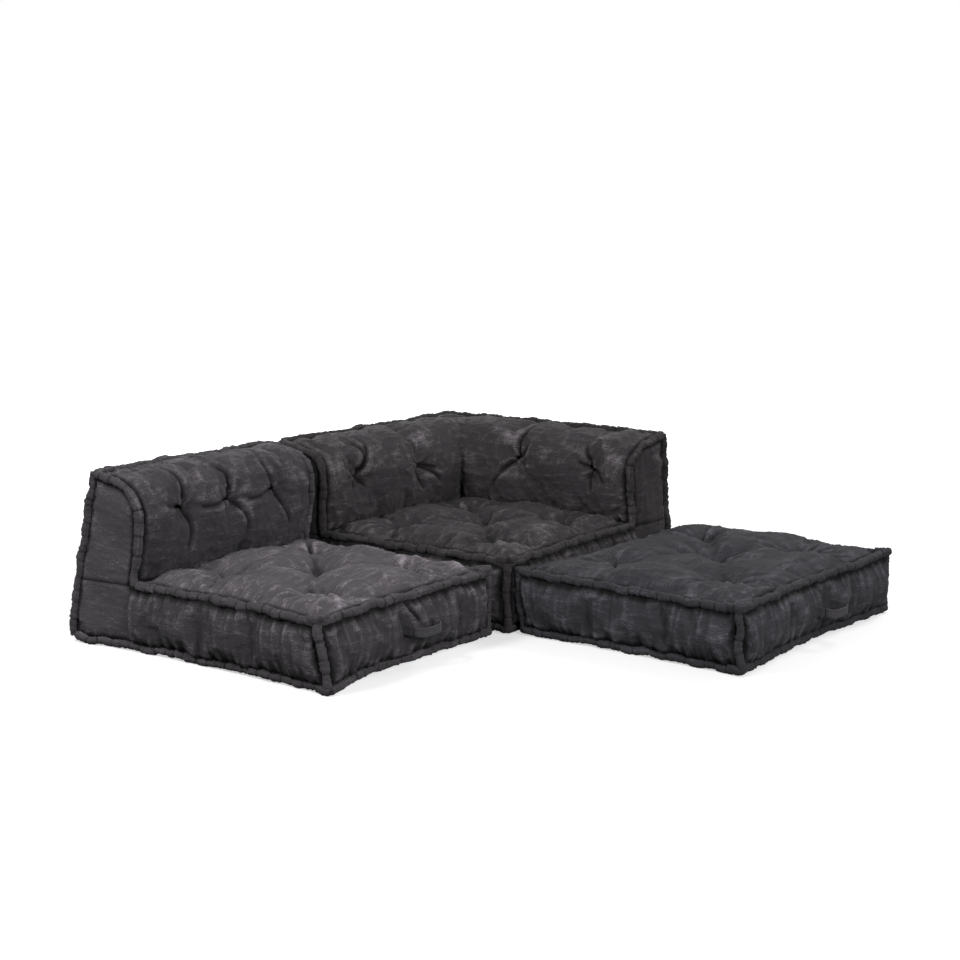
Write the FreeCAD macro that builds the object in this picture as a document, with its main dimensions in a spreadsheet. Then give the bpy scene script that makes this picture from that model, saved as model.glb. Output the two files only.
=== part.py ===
"""A modular corner sofa of tufted floor cushions: a middle module, a corner module and a pouf.

Each module is a filled core inside padded canvas panels. A stuffed rolled edge lies in a square channel along every
seam, the panels are drawn in at their seams, and twine through the filling holds the sunken tufts.
The origin is on the floor under the centre of the corner module. +X runs towards the pouf, +Y towards the right
back of the corner, +Z up. Lengths are millimetres and angles degrees.
"""
import FreeCAD, Part
import math
import os
import re
import Sketcher

SIZES = (
    ("corner_side", 900, "corner module, both ways over its rolled edges"),
    ("middle_depth", 900, "middle module, front to rear"),
    ("middle_width", 710, "middle module, along its back"),
    ("pouf_depth", 700, "pouf, away from the corner module"),
    ("pouf_width", 900, "pouf, along the corner module"),
    ("corner_seat_height", 216, "floor to the top of the seat's rolled edge"),
    ("middle_seat_height", 194, "floor to the top of the seat's rolled edge"),
    ("pouf_height", 186, "floor to the top of the pouf's upper rolled edge"),
    ("back_height", 486, "floor to the top rear edge of a back"),
    ("back_depth", 235, "rear of a back to its face, at seat height"),
    ("front_tilt", 7.4, "how far a back's face leans out over the seat"),
    ("top_tilt", 11, "fall of a back's top towards the seat"),
    ("shoulder_radius", 100, "rounding between a back's face and its top"),
    ("middle_back_lean", 67, "how far the middle back's top rear edge stands in"),
    ("corner_back_lean", 55, "how far the corner backs' top rear edges stand in"),
    ("back_pad", 48, "padding of a back's face, from the rolled edge's outside to the core"),
    ("roll_radius", 14, "half the channel that a rolled edge lies in"),
    ("roll_clearance", 0.4, "between a rolled edge and its channel"),
    ("roll_bend_slack", 0.6, "how far the bend of a roll's centre line at a corner passes the channel's half"),
    ("rear_roll_bend", 30, "bend of a rear rolled edge where it starts to lean, on its centre line"),
    ("seam_depth", 12, "how far a panel's seams lie below the rolled edges' outside"),
    ("boxing_bulge", 20, "swell of a side panel at the middle of its length"),
    ("boxing_end_bulge", 6, "swell of a side panel at its ends"),
    ("seat_crown", 52, "crown of a seat above its seams, at the middle"),
    ("seat_end_crown", 14, "crown of a seat at two of its edges"),
    ("back_bulge", 24, "swell of a back's face at the middle of its length"),
    ("back_end_bulge", 4, "swell of a back's face at its ends"),
    ("rear_bulge", 18, "swell of a back's rear panel"),
    ("end_bulge", 17, "swell of the panel at a back's end"),
    ("end_shelf", 40, "width of that panel's rounded margin"),
    ("tuft_floor", 11, "radius of a tuft's floor"),
    ("tuft_drop", 18, "depth of a seat tuft's floor below the rolled edge's top"),
    ("tuft_mouth", 95, "radius of a seat tuft's dimple"),
    ("tuft_depth", 48, "height of a seat tuft's dimple"),
    ("back_tuft_mouth", 70, "radius of a back tuft's dimple"),
    ("back_tuft_depth", 44, "height of a back tuft's dimple"),
    ("tuft_flare", 55, "how far a dimple's rim runs out past its mouth"),
    ("tuft_flare_rise", 8, "rise of that rim"),
    ("tuft_rounding", 0.145, "how full a dimple's side is, as a share of its slope"),
    ("back_button_height", 378, "floor to the buttons of a back"),
    ("back_button_seat", 6, "padding left under a face button"),
    ("rear_button_seat", 8, "padding left under a rear button"),
    ("corner_button_end", 145, "end of a corner back to its first button"),
    ("corner_button_pitch", 285, "between the buttons of a corner back"),
    ("button_radius", 10, "covered buttons"),
    ("button_rise", 7, "height of a button's dome"),
    ("twine_radius", 2, "tufting twine"),
    ("fit_clearance", 0.3, "between small pieces and their seats"),
    ("washer_radius", 14, "washers that hold the twine under a seat"),
    ("washer_thickness", 3, "thickness of a washer"),
    ("washer_recess", 8, "depth of a washer's recess in the base"),
    ("strap_width", 28, "carrying strap"),
    ("strap_thickness", 3, "carrying strap"),
    ("strap_span", 110, "between the outsides of a handle's two ends"),
    ("strap_straight", 6, "from a handle's swing axis to the start of its bow"),
    ("strap_bow", 28, "from a handle's swing axis to the outside of its bow"),
    ("strap_standoff", 1, "least gap between a swinging handle and the panel behind it"),
    ("strap_sunk", 12, "length of a handle's tabs that is sewn into the panel"),
    ("handle_offset", 20, "from a module's centre line to the middle of its handle"),
    ("module_gap", 26, "between the middle and the corner module"),
    ("middle_setback", 30, "how far the middle module stands behind the corner module's line"),
    ("pouf_gap", 30, "between the corner module and the pouf"),
    ("pouf_shift", 7, "how far the pouf stands along the corner module's side"),
    ("pouf_turn", -2, "the pouf's slight turn on the floor"),
)

X_AXIS = FreeCAD.Vector(1, 0, 0)
Y_AXIS = FreeCAD.Vector(0, 1, 0)
Z_AXIS = FreeCAD.Vector(0, 0, 1)

doc = FreeCAD.newDocument("corner_sofa")
sheet = doc.addObject("Spreadsheet::Sheet", "Sizes")
for row, (size_name, size_value, meaning) in enumerate(SIZES, start=1):
    sheet.set(f"A{row}", meaning)
    sheet.set(f"B{row}", str(size_value))
    sheet.setAlias(f"B{row}", size_name)
doc.recompute()

SIZE_NAMES = re.compile(r"\b(" + "|".join(name for name, _, _ in SIZES) + r")\b")
CHANNEL = "(2 * roll_radius)"
TUBE = "(roll_radius - roll_clearance)"
ROLL_BEND = "(roll_radius + roll_bend_slack)"
TWINE_HOLE = "(twine_radius + fit_clearance)"
nodes = []


def bound(text):
    """The expression with each size name pointing at its cell of the sheet."""
    return SIZE_NAMES.sub(r"Sizes.\1", text)


def value(text):
    """The expression worked out as a number."""
    found = sheet.evalExpression(bound(text))
    return float(getattr(found, "Value", found))


def set_place(thing, x, y, z):
    """Tie an object's position to the sizes."""
    for axis, text in zip("xyz", (x, y, z)):
        thing.setExpression(f"Placement.Base.{axis}", bound(text))


class Module:
    """One loose cushion: its sizes, and where it stands on the floor."""

    def __init__(self, name, long, wide, seat, x, y, lean="0", turn=None):
        self.name = name
        self.long = long
        self.wide = wide
        self.half_x = f"({long} / 2)"
        self.half_y = f"({wide} / 2)"
        self.seat = seat
        self.lean = lean
        self.x = x
        self.y = y
        self.turn = turn

    def stand(self, thing):
        """Put an object that was drawn about the module's own centre where the module stands."""
        set_place(thing, self.x, self.y, "0")
        if self.turn:
            thing.Placement.Rotation = FreeCAD.Rotation(Z_AXIS, value(self.turn))
            thing.setExpression("Placement.Rotation.Angle", bound(self.turn))

    def node(self, thing, label):
        """Name a finished sub-part after its module and put it in place."""
        thing.Label = f"{self.name}_{label}"
        self.stand(thing)
        nodes.append(thing)
        return thing

    def body(self, label):
        """A new sub-part that is built from sketches."""
        return self.node(doc.addObject("PartDesign::Body", f"{self.name}_{label}"), label)

    def group(self, label, solids):
        """A sub-part of several separate solids."""
        compound = doc.addObject("Part::Compound", f"{self.name}_{label}")
        compound.Links = solids
        return self.node(compound, label)


corner = Module("corner", "corner_side", "corner_side", "corner_seat_height", "0", "0", "corner_back_lean")
middle = Module("middle", "middle_depth", "middle_width", "middle_seat_height", "-middle_setback",
                "-((corner_side + middle_width) / 2 + module_gap)", "middle_back_lean")
pouf = Module("pouf", "pouf_depth", "pouf_width", "pouf_height", "(corner_side + pouf_depth) / 2 + pouf_gap",
              "pouf_shift", turn="pouf_turn")


def blank_sketch(body, name, plane, offset, origin=("0", "0")):
    """An empty sketch parallel to one of the body's planes, with its origin moved within that plane."""
    sketch = body.newObject("Sketcher::SketchObject", f"{body.Name}_{name}")
    support = next(item for item in body.Origin.OriginFeatures if item.Role == plane)
    sketch.AttachmentSupport = (support, [""])
    sketch.MapMode = "FlatFace"
    for axis, text in zip("xyz", (*origin, offset)):
        sketch.setExpression(f"AttachmentOffset.Base.{axis}", bound(text))
    return sketch


def fix_point(sketch, shape, end, x, y):
    """Hold one point of a sketch at a place that follows the sizes."""
    for kind, text in (("DistanceX", x), ("DistanceY", y)):
        index = sketch.addConstraint(Sketcher.Constraint(kind, -1, 1, shape, end, value(text)))
        sketch.setExpression(f"Constraints[{index}]", bound(text))


def draw_outline(sketch, corners):
    """Draw a closed outline. A corner with a third word is passed through by an arc between its neighbours."""
    spots = [FreeCAD.Vector(value(place[0]), value(place[1]), 0) for place in corners]
    plain = [number for number, place in enumerate(corners) if len(place) == 2]
    edges = []
    for number, after in zip(plain, plain[1:] + plain[:1]):
        between = (number + 1) % len(corners)
        start, finish = spots[number], spots[after]
        if between == after:
            edges.append((sketch.addGeometry(Part.LineSegment(start, finish)), 1, 2, number, None))
            continue
        arc = Part.Arc(start, spots[between], finish)
        forward = (spots[between] - start).cross(finish - spots[between]).z > 0
        edges.append((sketch.addGeometry(arc), *((1, 2) if forward else (2, 1)), number, between))
    for (shape, _, finish, _, _), (following, start, _, _, _) in zip(edges, edges[1:] + edges[:1]):
        sketch.addConstraint(Sketcher.Constraint("Coincident", shape, finish, following, start))
    for shape, start, _, number, between in edges:
        fix_point(sketch, shape, start, *corners[number][:2])
        if between is not None:
            point = sketch.addGeometry(Part.Point(spots[between]), True)
            fix_point(sketch, point, 1, *corners[between][:2])
            sketch.addConstraint(Sketcher.Constraint("PointOnObject", point, 1, shape))
    return sketch


def draw_circles(sketch, centres, radius):
    """Draw equal circles."""
    for x, y in centres:
        circle = Part.Circle(FreeCAD.Vector(value(x), value(y), 0), Z_AXIS, value(radius))
        shape = sketch.addGeometry(circle)
        fix_point(sketch, shape, 3, x, y)
        index = sketch.addConstraint(Sketcher.Constraint("Radius", shape, value(radius)))
        sketch.setExpression(f"Constraints[{index}]", bound(radius))
    return sketch


def rectangle(low_x, low_y, high_x, high_y):
    """The corners of an upright rectangle."""
    return [(low_x, low_y), (high_x, low_y), (high_x, high_y), (low_x, high_y)]


def pad(body, sketch, length):
    """Thicken a sketch along its normal."""
    feature = body.newObject("PartDesign::Pad", f"{sketch.Name}_pad")
    feature.Profile = sketch
    feature.setExpression("Length", bound(length))


def cut(body, sketch, length):
    """Cut a sketch into the body along the sketch's normal."""
    feature = body.newObject("PartDesign::Pocket", f"{sketch.Name}_cut")
    feature.Profile = sketch
    feature.Reversed = True
    feature.setExpression("Length", bound(length))


def cut_both_ways(body, sketch, length):
    """Cut a sketch into the body on both of its sides."""
    feature = body.newObject("PartDesign::Pocket", f"{sketch.Name}_cut")
    feature.Profile = sketch
    feature.SideType = "Symmetric"
    feature.setExpression("Length", bound(f"2 * {length}"))


def loft(body, sketches, straight=False):
    """Stretch a solid through a row of sketches."""
    feature = body.newObject("PartDesign::AdditiveLoft", f"{body.Name}_loft")
    feature.Profile = sketches[0]
    feature.Sections = sketches[1:]
    feature.Ruled = straight


def sink_tuft(body, name, plane, offset, origin, outward, mouth, depth):
    """Cut the trumpet-shaped dimple of a sewn tuft. outward is the sketch direction that leaves the padding."""
    sketch = blank_sketch(body, name, plane, offset, origin)
    rim = f"({mouth} + tuft_flare)"
    brim = f"({depth} + tuft_flare_rise)"
    profile = [
        ("0", "0"),
        ("tuft_floor", "0"),
        (f"(tuft_floor + {mouth}) / 2 - tuft_rounding * {depth}",
         f"{depth} / 2 + tuft_rounding * ({mouth} - tuft_floor)", "through"),
        (mouth, depth),
        (rim, brim),
        (rim, f"2 * {brim}"),
        ("0", f"2 * {brim}"),
    ]
    turned = {
        "up": lambda radial, axial, *rest: (radial, axial, *rest),
        "right": lambda radial, axial, *rest: (axial, radial, *rest),
        "left": lambda radial, axial, *rest: (f"-({axial})", radial, *rest),
    }[outward]
    draw_outline(sketch, [turned(*place) for place in profile])
    feature = body.newObject("PartDesign::Groove", f"{sketch.Name}_groove")
    feature.Profile = sketch
    feature.ReferenceAxis = (sketch, ["V_Axis" if outward == "up" else "H_Axis"])
    feature.Angle = 360


def tuft_places(low_x, low_y, high_x, high_y):
    """A seat's tufts: one in the middle and four at the quarter points."""
    centre_x = f"({low_x} + {high_x}) / 2"
    centre_y = f"({low_y} + {high_y}) / 2"
    places = [(centre_x, centre_y)]
    for sign_x in "+-":
        for sign_y in "+-":
            places.append((f"({centre_x} {sign_x} ({high_x} - {low_x}) / 4)",
                           f"({centre_y} {sign_y} ({high_y} - {low_y}) / 4)"))
    return places


def make_core(module, label, tufts):
    """The filled slab, with a channel for each tuft's twine."""
    body = module.body(label)
    inner_x = f"({module.half_x} - {CHANNEL})"
    inner_y = f"({module.half_y} - {CHANNEL})"
    slab = blank_sketch(body, "slab", "XY_Plane", CHANNEL)
    draw_outline(slab, rectangle(f"-{inner_x}", f"-{inner_y}", inner_x, inner_y))
    thickness = f"({module.seat} - 2 * {CHANNEL})"
    pad(body, slab, thickness)
    channels = blank_sketch(body, "channels", "XY_Plane", CHANNEL)
    cut(body, draw_circles(channels, tufts, TWINE_HOLE), thickness)


def make_base(module, tufts):
    """The padded underside, with recessed seats for the washers."""
    body = module.body("base_panel")
    inner_x = f"({module.half_x} - {CHANNEL})"
    inner_y = f"({module.half_y} - {CHANNEL})"
    panel = blank_sketch(body, "panel", "XY_Plane", "0")
    draw_outline(panel, rectangle(f"-{inner_x}", f"-{inner_y}", inner_x, inner_y))
    pad(body, panel, CHANNEL)
    recesses = blank_sketch(body, "recesses", "XY_Plane", "0")
    cut(body, draw_circles(recesses, tufts, "(washer_radius + fit_clearance)"), "washer_recess")
    channels = blank_sketch(body, "channels", "XY_Plane", "0")
    cut(body, draw_circles(channels, tufts, TWINE_HOLE), CHANNEL)


def make_top(module, label, low_x, low_y, high_x, high_y, tufts):
    """The crowned seat panel, dimpled at its tufts."""
    body = module.body(label)
    under = f"({module.seat} - {CHANNEL})"
    seam = f"({module.seat} - seam_depth)"
    sections = []
    stations = ((low_y, "seat_end_crown"), (f"(({low_y} + {high_y}) / 2)", "seat_crown"), (high_y, "seat_end_crown"))
    for number, (station, crown) in enumerate(stations):
        sketch = blank_sketch(body, f"section{number}", "XZ_Plane", f"-({station})")
        sections.append(draw_outline(sketch, [
            (low_x, under),
            (high_x, under),
            (high_x, seam),
            (f"({low_x} + {high_x}) / 2", f"{seam} + {crown}", "through"),
            (low_x, seam),
        ]))
    loft(body, sections)
    floor = f"({module.seat} - tuft_drop)"
    for number, (x, y) in enumerate(tufts):
        sink_tuft(body, f"tuft{number}", "XZ_Plane", f"-({y})", (x, floor), "up", "tuft_mouth", "tuft_depth")
    channels = blank_sketch(body, "channels", "XY_Plane", under)
    cut(body, draw_circles(channels, tufts, TWINE_HOLE), f"({CHANNEL} - tuft_drop)")


def make_boxing(module, label, side):
    """A padded side panel, drawn in at its seams. side is +X, -X, +Y or -Y."""
    body = module.body(label)
    sign, axis = side
    across, along, plane, away = {
        "X": (module.half_x, module.half_y, "XZ_Plane", "-"),
        "Y": (module.half_y, module.half_x, "YZ_Plane", ""),
    }[axis]
    inner = f"{sign}({across} - {CHANNEL})"
    seam = f"{sign}({across} - seam_depth)"
    run = f"({along} - {CHANNEL})"
    sections = []
    stations = ((f"-{run}", "boxing_end_bulge"), ("0", "boxing_bulge"), (run, "boxing_end_bulge"))
    for number, (station, bulge) in enumerate(stations):
        sketch = blank_sketch(body, f"section{number}", plane, f"{away}({station})")
        sections.append(draw_outline(sketch, [
            (inner, CHANNEL),
            (seam, CHANNEL),
            (f"{sign}({across} - seam_depth + {bulge})", f"{module.seat} / 2", "through"),
            (seam, f"{module.seat} - {CHANNEL}"),
            (inner, f"{module.seat} - {CHANNEL}"),
        ]))
    loft(body, sections)


class Back:
    """One back of a module. Depth runs from its rear towards the seat, and stations along it from its free end."""

    def __init__(self, module, side, label=""):
        self.module = module
        self.side = side
        self.label = label
        self.plane = "XZ_Plane" if side == "left" else "YZ_Plane"
        self.half = module.half_y if side == "left" else module.half_x
        self.foot = f"({module.seat} - {CHANNEL})"
        self.rear_slope = f"({module.lean} / (back_height - {self.foot}))"
        self.rear_stretch = f"sqrt(1 + {self.rear_slope} ^ 2)"
        self.half_turn = "((90 + front_tilt - top_tilt) / 2)"

    def sketch(self, body, name, station, origin=("0", "0")):
        """An empty cross-section at a station."""
        return blank_sketch(body, name, self.plane, f"({self.half} - ({station}))", origin)

    def along(self, station):
        """The module's own coordinate at a station."""
        return f"({station} - {self.half})" if self.side == "left" else f"({self.half} - ({station}))"

    def flat(self, depth):
        """The module's own coordinate at a depth."""
        return f"({depth} - {self.module.half_x})" if self.side == "left" else f"({self.module.half_y} - ({depth}))"

    def spot(self, depth, station):
        """The module's own X and Y at a depth and a station."""
        return (self.flat(depth), self.along(station)) if self.side == "left" else \
            (self.along(station), self.flat(depth))

    def outward(self, forward):
        """The sketch direction that leaves the back's face, or its rear."""
        return "right" if (self.side == "left") == forward else "left"

    def top_line(self, inset):
        """Height of the top's line at depth 0, so far inside the outline."""
        return f"(back_height - {inset} / cos(top_tilt) + {self.module.lean} * tan(top_tilt))"

    def front(self, inset, height):
        """Depth of the face's line at a height."""
        return f"(back_depth - {inset} / cos(front_tilt) + ({height} - {self.module.seat}) * tan(front_tilt))"

    def rear(self, inset, height):
        """Depth of the rear's line at a height."""
        return f"({inset} * {self.rear_stretch} + ({height} - {self.foot}) * {self.rear_slope})"

    def rear_top(self, rear_inset, top_inset):
        """Where the rear's and the top's lines cross."""
        line = self.top_line(top_inset)
        depth = (f"(({rear_inset} * {self.rear_stretch} + ({line} - {self.foot}) * {self.rear_slope})"
                 f" / (1 + tan(top_tilt) * {self.rear_slope}))")
        return depth, f"({line} - {depth} * tan(top_tilt))"

    def knee_height(self):
        """Height where a rear rolled edge stops standing upright and leans in."""
        return f"({self.foot} - roll_radius * ({self.rear_stretch} - 1) / {self.rear_slope})"

    def shoulder_corner(self, inset):
        """Where the face's and the top's lines cross."""
        line = self.top_line(inset)
        depth = (f"((back_depth - {inset} / cos(front_tilt) + ({line} - {self.module.seat}) * tan(front_tilt))"
                 " / (1 + tan(top_tilt) * tan(front_tilt)))")
        return depth, f"({line} - {depth} * tan(top_tilt))"

    def shoulder(self, inset):
        """The rounded shoulder: where its arc leaves the face, a point on it, and where it meets the top."""
        depth, height = self.shoulder_corner(inset)
        radius = f"(shoulder_radius - {inset})"
        reach = f"({radius} * tan({self.half_turn}))"
        sag = f"({radius} * (1 / cos({self.half_turn}) - 1) / (2 * cos({self.half_turn})))"
        return (
            (f"({depth} - {reach} * sin(front_tilt))", f"({height} - {reach} * cos(front_tilt))"),
            (f"({depth} - {sag} * (cos(front_tilt) + sin(top_tilt)))",
             f"({height} - {sag} * (cos(top_tilt) - sin(front_tilt)))", "through"),
            (f"({depth} - {reach} * cos(top_tilt))", f"({height} + {reach} * sin(top_tilt))"),
        )

    def placed(self, corners):
        """Cross-section corners as sketch coordinates."""
        return [(self.flat(depth), *rest) for depth, *rest in corners]

    def outline(self, face_inset, rear_inset, foot):
        """The whole cross-section, so far inside the rolled edges' outside."""
        return self.placed([
            (self.front(face_inset, foot), foot),
            *self.shoulder(face_inset),
            self.rear_top(rear_inset, face_inset),
            (self.rear(rear_inset, foot), foot),
        ])

    def mitre(self, body):
        """Cut a piece of a corner back along the corner's diagonal."""
        side = self.module.long
        far = (side, side) if self.side == "left" else (f"-{side}", f"-{side}")
        sketch = blank_sketch(body, "mitre", "XY_Plane", "0")
        cut(body, draw_outline(sketch, [(f"-{side}", side), (side, f"-{side}"), far]), "2 * back_height")

    def twine_holes(self, body, stations):
        """Cut the level channels of the button twine."""
        plane = "YZ_Plane" if self.side == "left" else "XZ_Plane"
        centres = [(self.along(station), "back_button_height") for station in stations]
        sketch = blank_sketch(body, "channels", plane, "0")
        cut_both_ways(body, draw_circles(sketch, centres, TWINE_HOLE), self.module.long)

    def make_core(self, buttons, start, finish, mitred):
        """The filled wedge, drawn at its far end and thickened towards its free end."""
        body = self.module.body(f"{self.label}back_core")
        wedge = self.sketch(body, "wedge", finish)
        draw_outline(wedge, self.outline("back_pad", CHANNEL, self.foot))
        pad(body, wedge, f"({finish} - {start})")
        self.twine_holes(body, buttons)
        if mitred:
            self.mitre(body)

    def make_face(self, buttons, stations, mitred):
        """The padded panel over the face and the top, dimpled at its buttons."""
        body = self.module.body(f"{self.label}backrest_front")
        sections = []
        for number, (station, bulge) in enumerate(stations):
            inner_start, inner_mid, inner_end = self.shoulder("back_pad")
            outer_start, outer_mid, outer_end = self.shoulder(f"(seam_depth - {bulge})")
            sketch = self.sketch(body, f"section{number}", station)
            sections.append(draw_outline(sketch, self.placed([
                (self.front("back_pad", self.foot), self.foot),
                (self.front("seam_depth", self.foot), self.foot),
                outer_start,
                outer_mid,
                outer_end,
                self.rear_top(CHANNEL, "seam_depth"),
                self.rear_top(CHANNEL, "back_pad"),
                inner_end,
                inner_mid,
                inner_start,
            ])))
        loft(body, sections)
        floor = f"({self.front('back_pad', 'back_button_height')} + back_button_seat)"
        self.sink_buttons(body, buttons, floor, forward=True)
        if mitred:
            self.mitre(body)

    def make_rear(self, buttons, stations, slanted_end):
        """The slanted panel behind the back."""
        body = self.module.body(f"{self.label}backrest_rear")
        inner_top = self.rear_top(CHANNEL, CHANNEL)
        seam_top = self.rear_top("seam_depth", CHANNEL)
        seam_foot = self.rear("seam_depth", self.foot)
        sections = []
        for number, (station, bulge) in enumerate(stations):
            sketch = self.sketch(body, f"section{number}", station)
            sections.append(draw_outline(sketch, self.placed([
                (self.rear(CHANNEL, self.foot), self.foot),
                inner_top,
                seam_top,
                (f"(({seam_foot} + {seam_top[0]}) / 2 - {bulge} / {self.rear_stretch})",
                 f"(({self.foot} + {seam_top[1]}) / 2 + {bulge} * {self.rear_slope} / {self.rear_stretch})",
                 "through"),
                (seam_foot, self.foot),
            ])))
        loft(body, sections)
        floor = f"({self.rear(CHANNEL, 'back_button_height')} - rear_button_seat)"
        self.sink_buttons(body, buttons, floor, forward=False)
        if slanted_end:
            self.cut_at_neighbour(body)

    def cut_at_neighbour(self, body):
        """End a rear panel where the core of the neighbouring back has its rear."""
        other = Back(self.module, "right" if self.side == "left" else "left")
        top = "(2 * back_height)"
        beyond = f"-{self.module.long}"
        sketch = blank_sketch(body, "end", other.plane, "0")
        cut_both_ways(body, draw_outline(sketch, other.placed([
            (other.rear(CHANNEL, "0"), "0"),
            (other.rear(CHANNEL, top), top),
            (beyond, top),
            (beyond, "0"),
        ])), self.module.long)

    def sink_buttons(self, body, buttons, floor, forward):
        """Cut the dimple and the twine channel of each button."""
        for number, station in enumerate(buttons):
            sink_tuft(body, f"button{number}", self.plane, f"({self.half} - ({station}))",
                      (self.flat(floor), "back_button_height"), self.outward(forward),
                      "back_tuft_mouth", "back_tuft_depth")
        self.twine_holes(body, buttons)

    def make_end(self, label, edge, sign):
        """The panel at one end of the back: a margin that rounds over to a flat swell."""
        body = self.module.body(label)
        rises = (
            (CHANNEL, "0"),
            ("seam_depth", "0"),
            ("(seam_depth - end_bulge * 2 / 3)", "(end_shelf / 3)"),
            ("(seam_depth - end_bulge)", "end_shelf"),
        )
        sections = []
        for number, (depth, margin) in enumerate(rises):
            sketch = self.sketch(body, f"section{number}", f"({edge} {sign} {depth})")
            inset = f"({CHANNEL} + {margin})"
            sections.append(draw_outline(sketch, self.outline(inset, inset, f"({self.foot} + {margin})")))
        loft(body, sections, straight=True)

    def button_solids(self, stations):
        """Domed buttons on the face and the rear, and the level twine between them."""
        face = f"({self.front('back_pad', 'back_button_height')} + back_button_seat)"
        rear = f"({self.rear(CHANNEL, 'back_button_height')} - rear_button_seat)"
        turn_axis = Y_AXIS if self.side == "left" else X_AXIS
        ahead = FreeCAD.Rotation(turn_axis, 90)
        behind = FreeCAD.Rotation(turn_axis, -90)
        domes = []
        twines = []
        for station in stations:
            domes.append(dome(*self.spot(face, station), "back_button_height", ahead))
            domes.append(dome(*self.spot(rear, station), "back_button_height", behind))
            twines.append(rod(*self.spot(rear, station), "back_button_height", "twine_radius",
                              f"({face} - {rear})", ahead))
        return domes, twines


def dome(x, y, z, rotation=FreeCAD.Rotation()):
    """A covered button: a half ellipsoid on its flat side."""
    button = doc.addObject("Part::Ellipsoid", "button")
    button.Placement.Rotation = rotation
    button.setExpression("Radius1", bound("button_rise"))
    button.setExpression("Radius2", bound("button_radius"))
    button.Angle1 = 0
    set_place(button, x, y, z)
    return button


def rod(x, y, z, radius, length, rotation=FreeCAD.Rotation()):
    """A round bar that starts at a point."""
    bar = doc.addObject("Part::Cylinder", "rod")
    bar.Placement.Rotation = rotation
    bar.setExpression("Radius", bound(radius))
    bar.setExpression("Height", bound(length))
    set_place(bar, x, y, z)
    return bar


def make_tufts(module, label, tufts, more_twine=()):
    """Sunken buttons, the twine below them and the washers in the base."""
    floor = f"({module.seat} - tuft_drop)"
    module.group(label, [dome(x, y, floor) for x, y in tufts])
    twine = [rod(x, y, "washer_recess", "twine_radius", f"({floor} - washer_recess)") for x, y in tufts]
    module.group("tuft_twine", [*twine, *more_twine])
    seat = "(washer_recess - washer_thickness)"
    module.group("base_washers", [rod(x, y, seat, "washer_radius", "washer_thickness") for x, y in tufts])


def rounded_path(points, bends):
    """A path of straight runs joined by tangent arcs at its inner points."""
    finishes = [points[0]]
    edges = []
    for before, point, after, bend in zip(points, points[1:], points[2:], bends):
        back_way = (before - point).normalize()
        on_way = (after - point).normalize()
        half = back_way.getAngle(on_way) / 2
        arrive = point + back_way * (bend / math.tan(half))
        leave = point + on_way * (bend / math.tan(half))
        crest = point + (back_way + on_way).normalize() * (bend / math.sin(half) - bend)
        edges.append(Part.LineSegment(finishes[-1], arrive).toShape())
        edges.append(Part.Arc(arrive, crest, leave).toShape())
        finishes.append(leave)
    edges.append(Part.LineSegment(finishes[-1], points[-1]).toShape())
    return Part.Wire(edges)


def roll_along(points, bends):
    """A stuffed rolled edge along a path."""
    path = rounded_path(points, bends)
    start = (points[1] - points[0]).normalize()
    section = Part.Wire([Part.Circle(points[0], start, value(TUBE)).toShape()])
    return path.makePipeShell([section], True, False)


def roll_ring(points, bends):
    """A closed rolled edge: two lengths that meet at the middles of the first run and of an opposite run."""
    count = len(points)
    half = count // 2
    first_join = (points[0] + points[1]) * 0.5
    second_join = (points[half] + points[(half + 1) % count]) * 0.5
    near = roll_along([first_join, *points[1:half + 1], second_join], bends[1:half + 1])
    rest = [*range(half + 1, count), 0]
    far = roll_along([second_join, *(points[n] for n in rest), first_join], [bends[n] for n in rest])
    return near.fuse(far).removeSplitter().Solids[0]


def point(x, y, z):
    """A point from three expressions."""
    return FreeCAD.Vector(value(x), value(y), value(z))


def add_roll(module, label, solids):
    """A sub-part made of rolled edges."""
    feature = doc.addObject("Part::Feature", f"{module.name}_{label}")
    feature.Shape = solids[0] if len(solids) == 1 else Part.makeCompound(solids)
    module.node(feature, label)


def make_flat_ring(module, label, height):
    """A rolled edge round the whole module at one height."""
    x = f"({module.half_x} - roll_radius)"
    y = f"({module.half_y} - roll_radius)"
    points = [point(a, b, height) for a, b in rectangle(f"-{x}", f"-{y}", x, y)]
    add_roll(module, label, [roll_ring(points, [value(ROLL_BEND)] * len(points))])


def upright_roll(x, y, module):
    """A straight rolled edge at a corner of the boxing."""
    return Part.makeCylinder(value(TUBE), value(f"{module.seat} - 2 * {CHANNEL}"), point(x, y, CHANNEL))


def rear_roll(foot, top, knee_height):
    """A rolled edge that stands at the rear up to the foot of the back and then leans in to the top edge."""
    knee = FreeCAD.Vector(foot.x, foot.y, value(knee_height))
    lean = (top - knee).normalize()
    end = top - lean * (value(TUBE) + 2 * value("roll_clearance"))
    return roll_along([foot, knee, end], [value("rear_roll_bend")])


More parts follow.
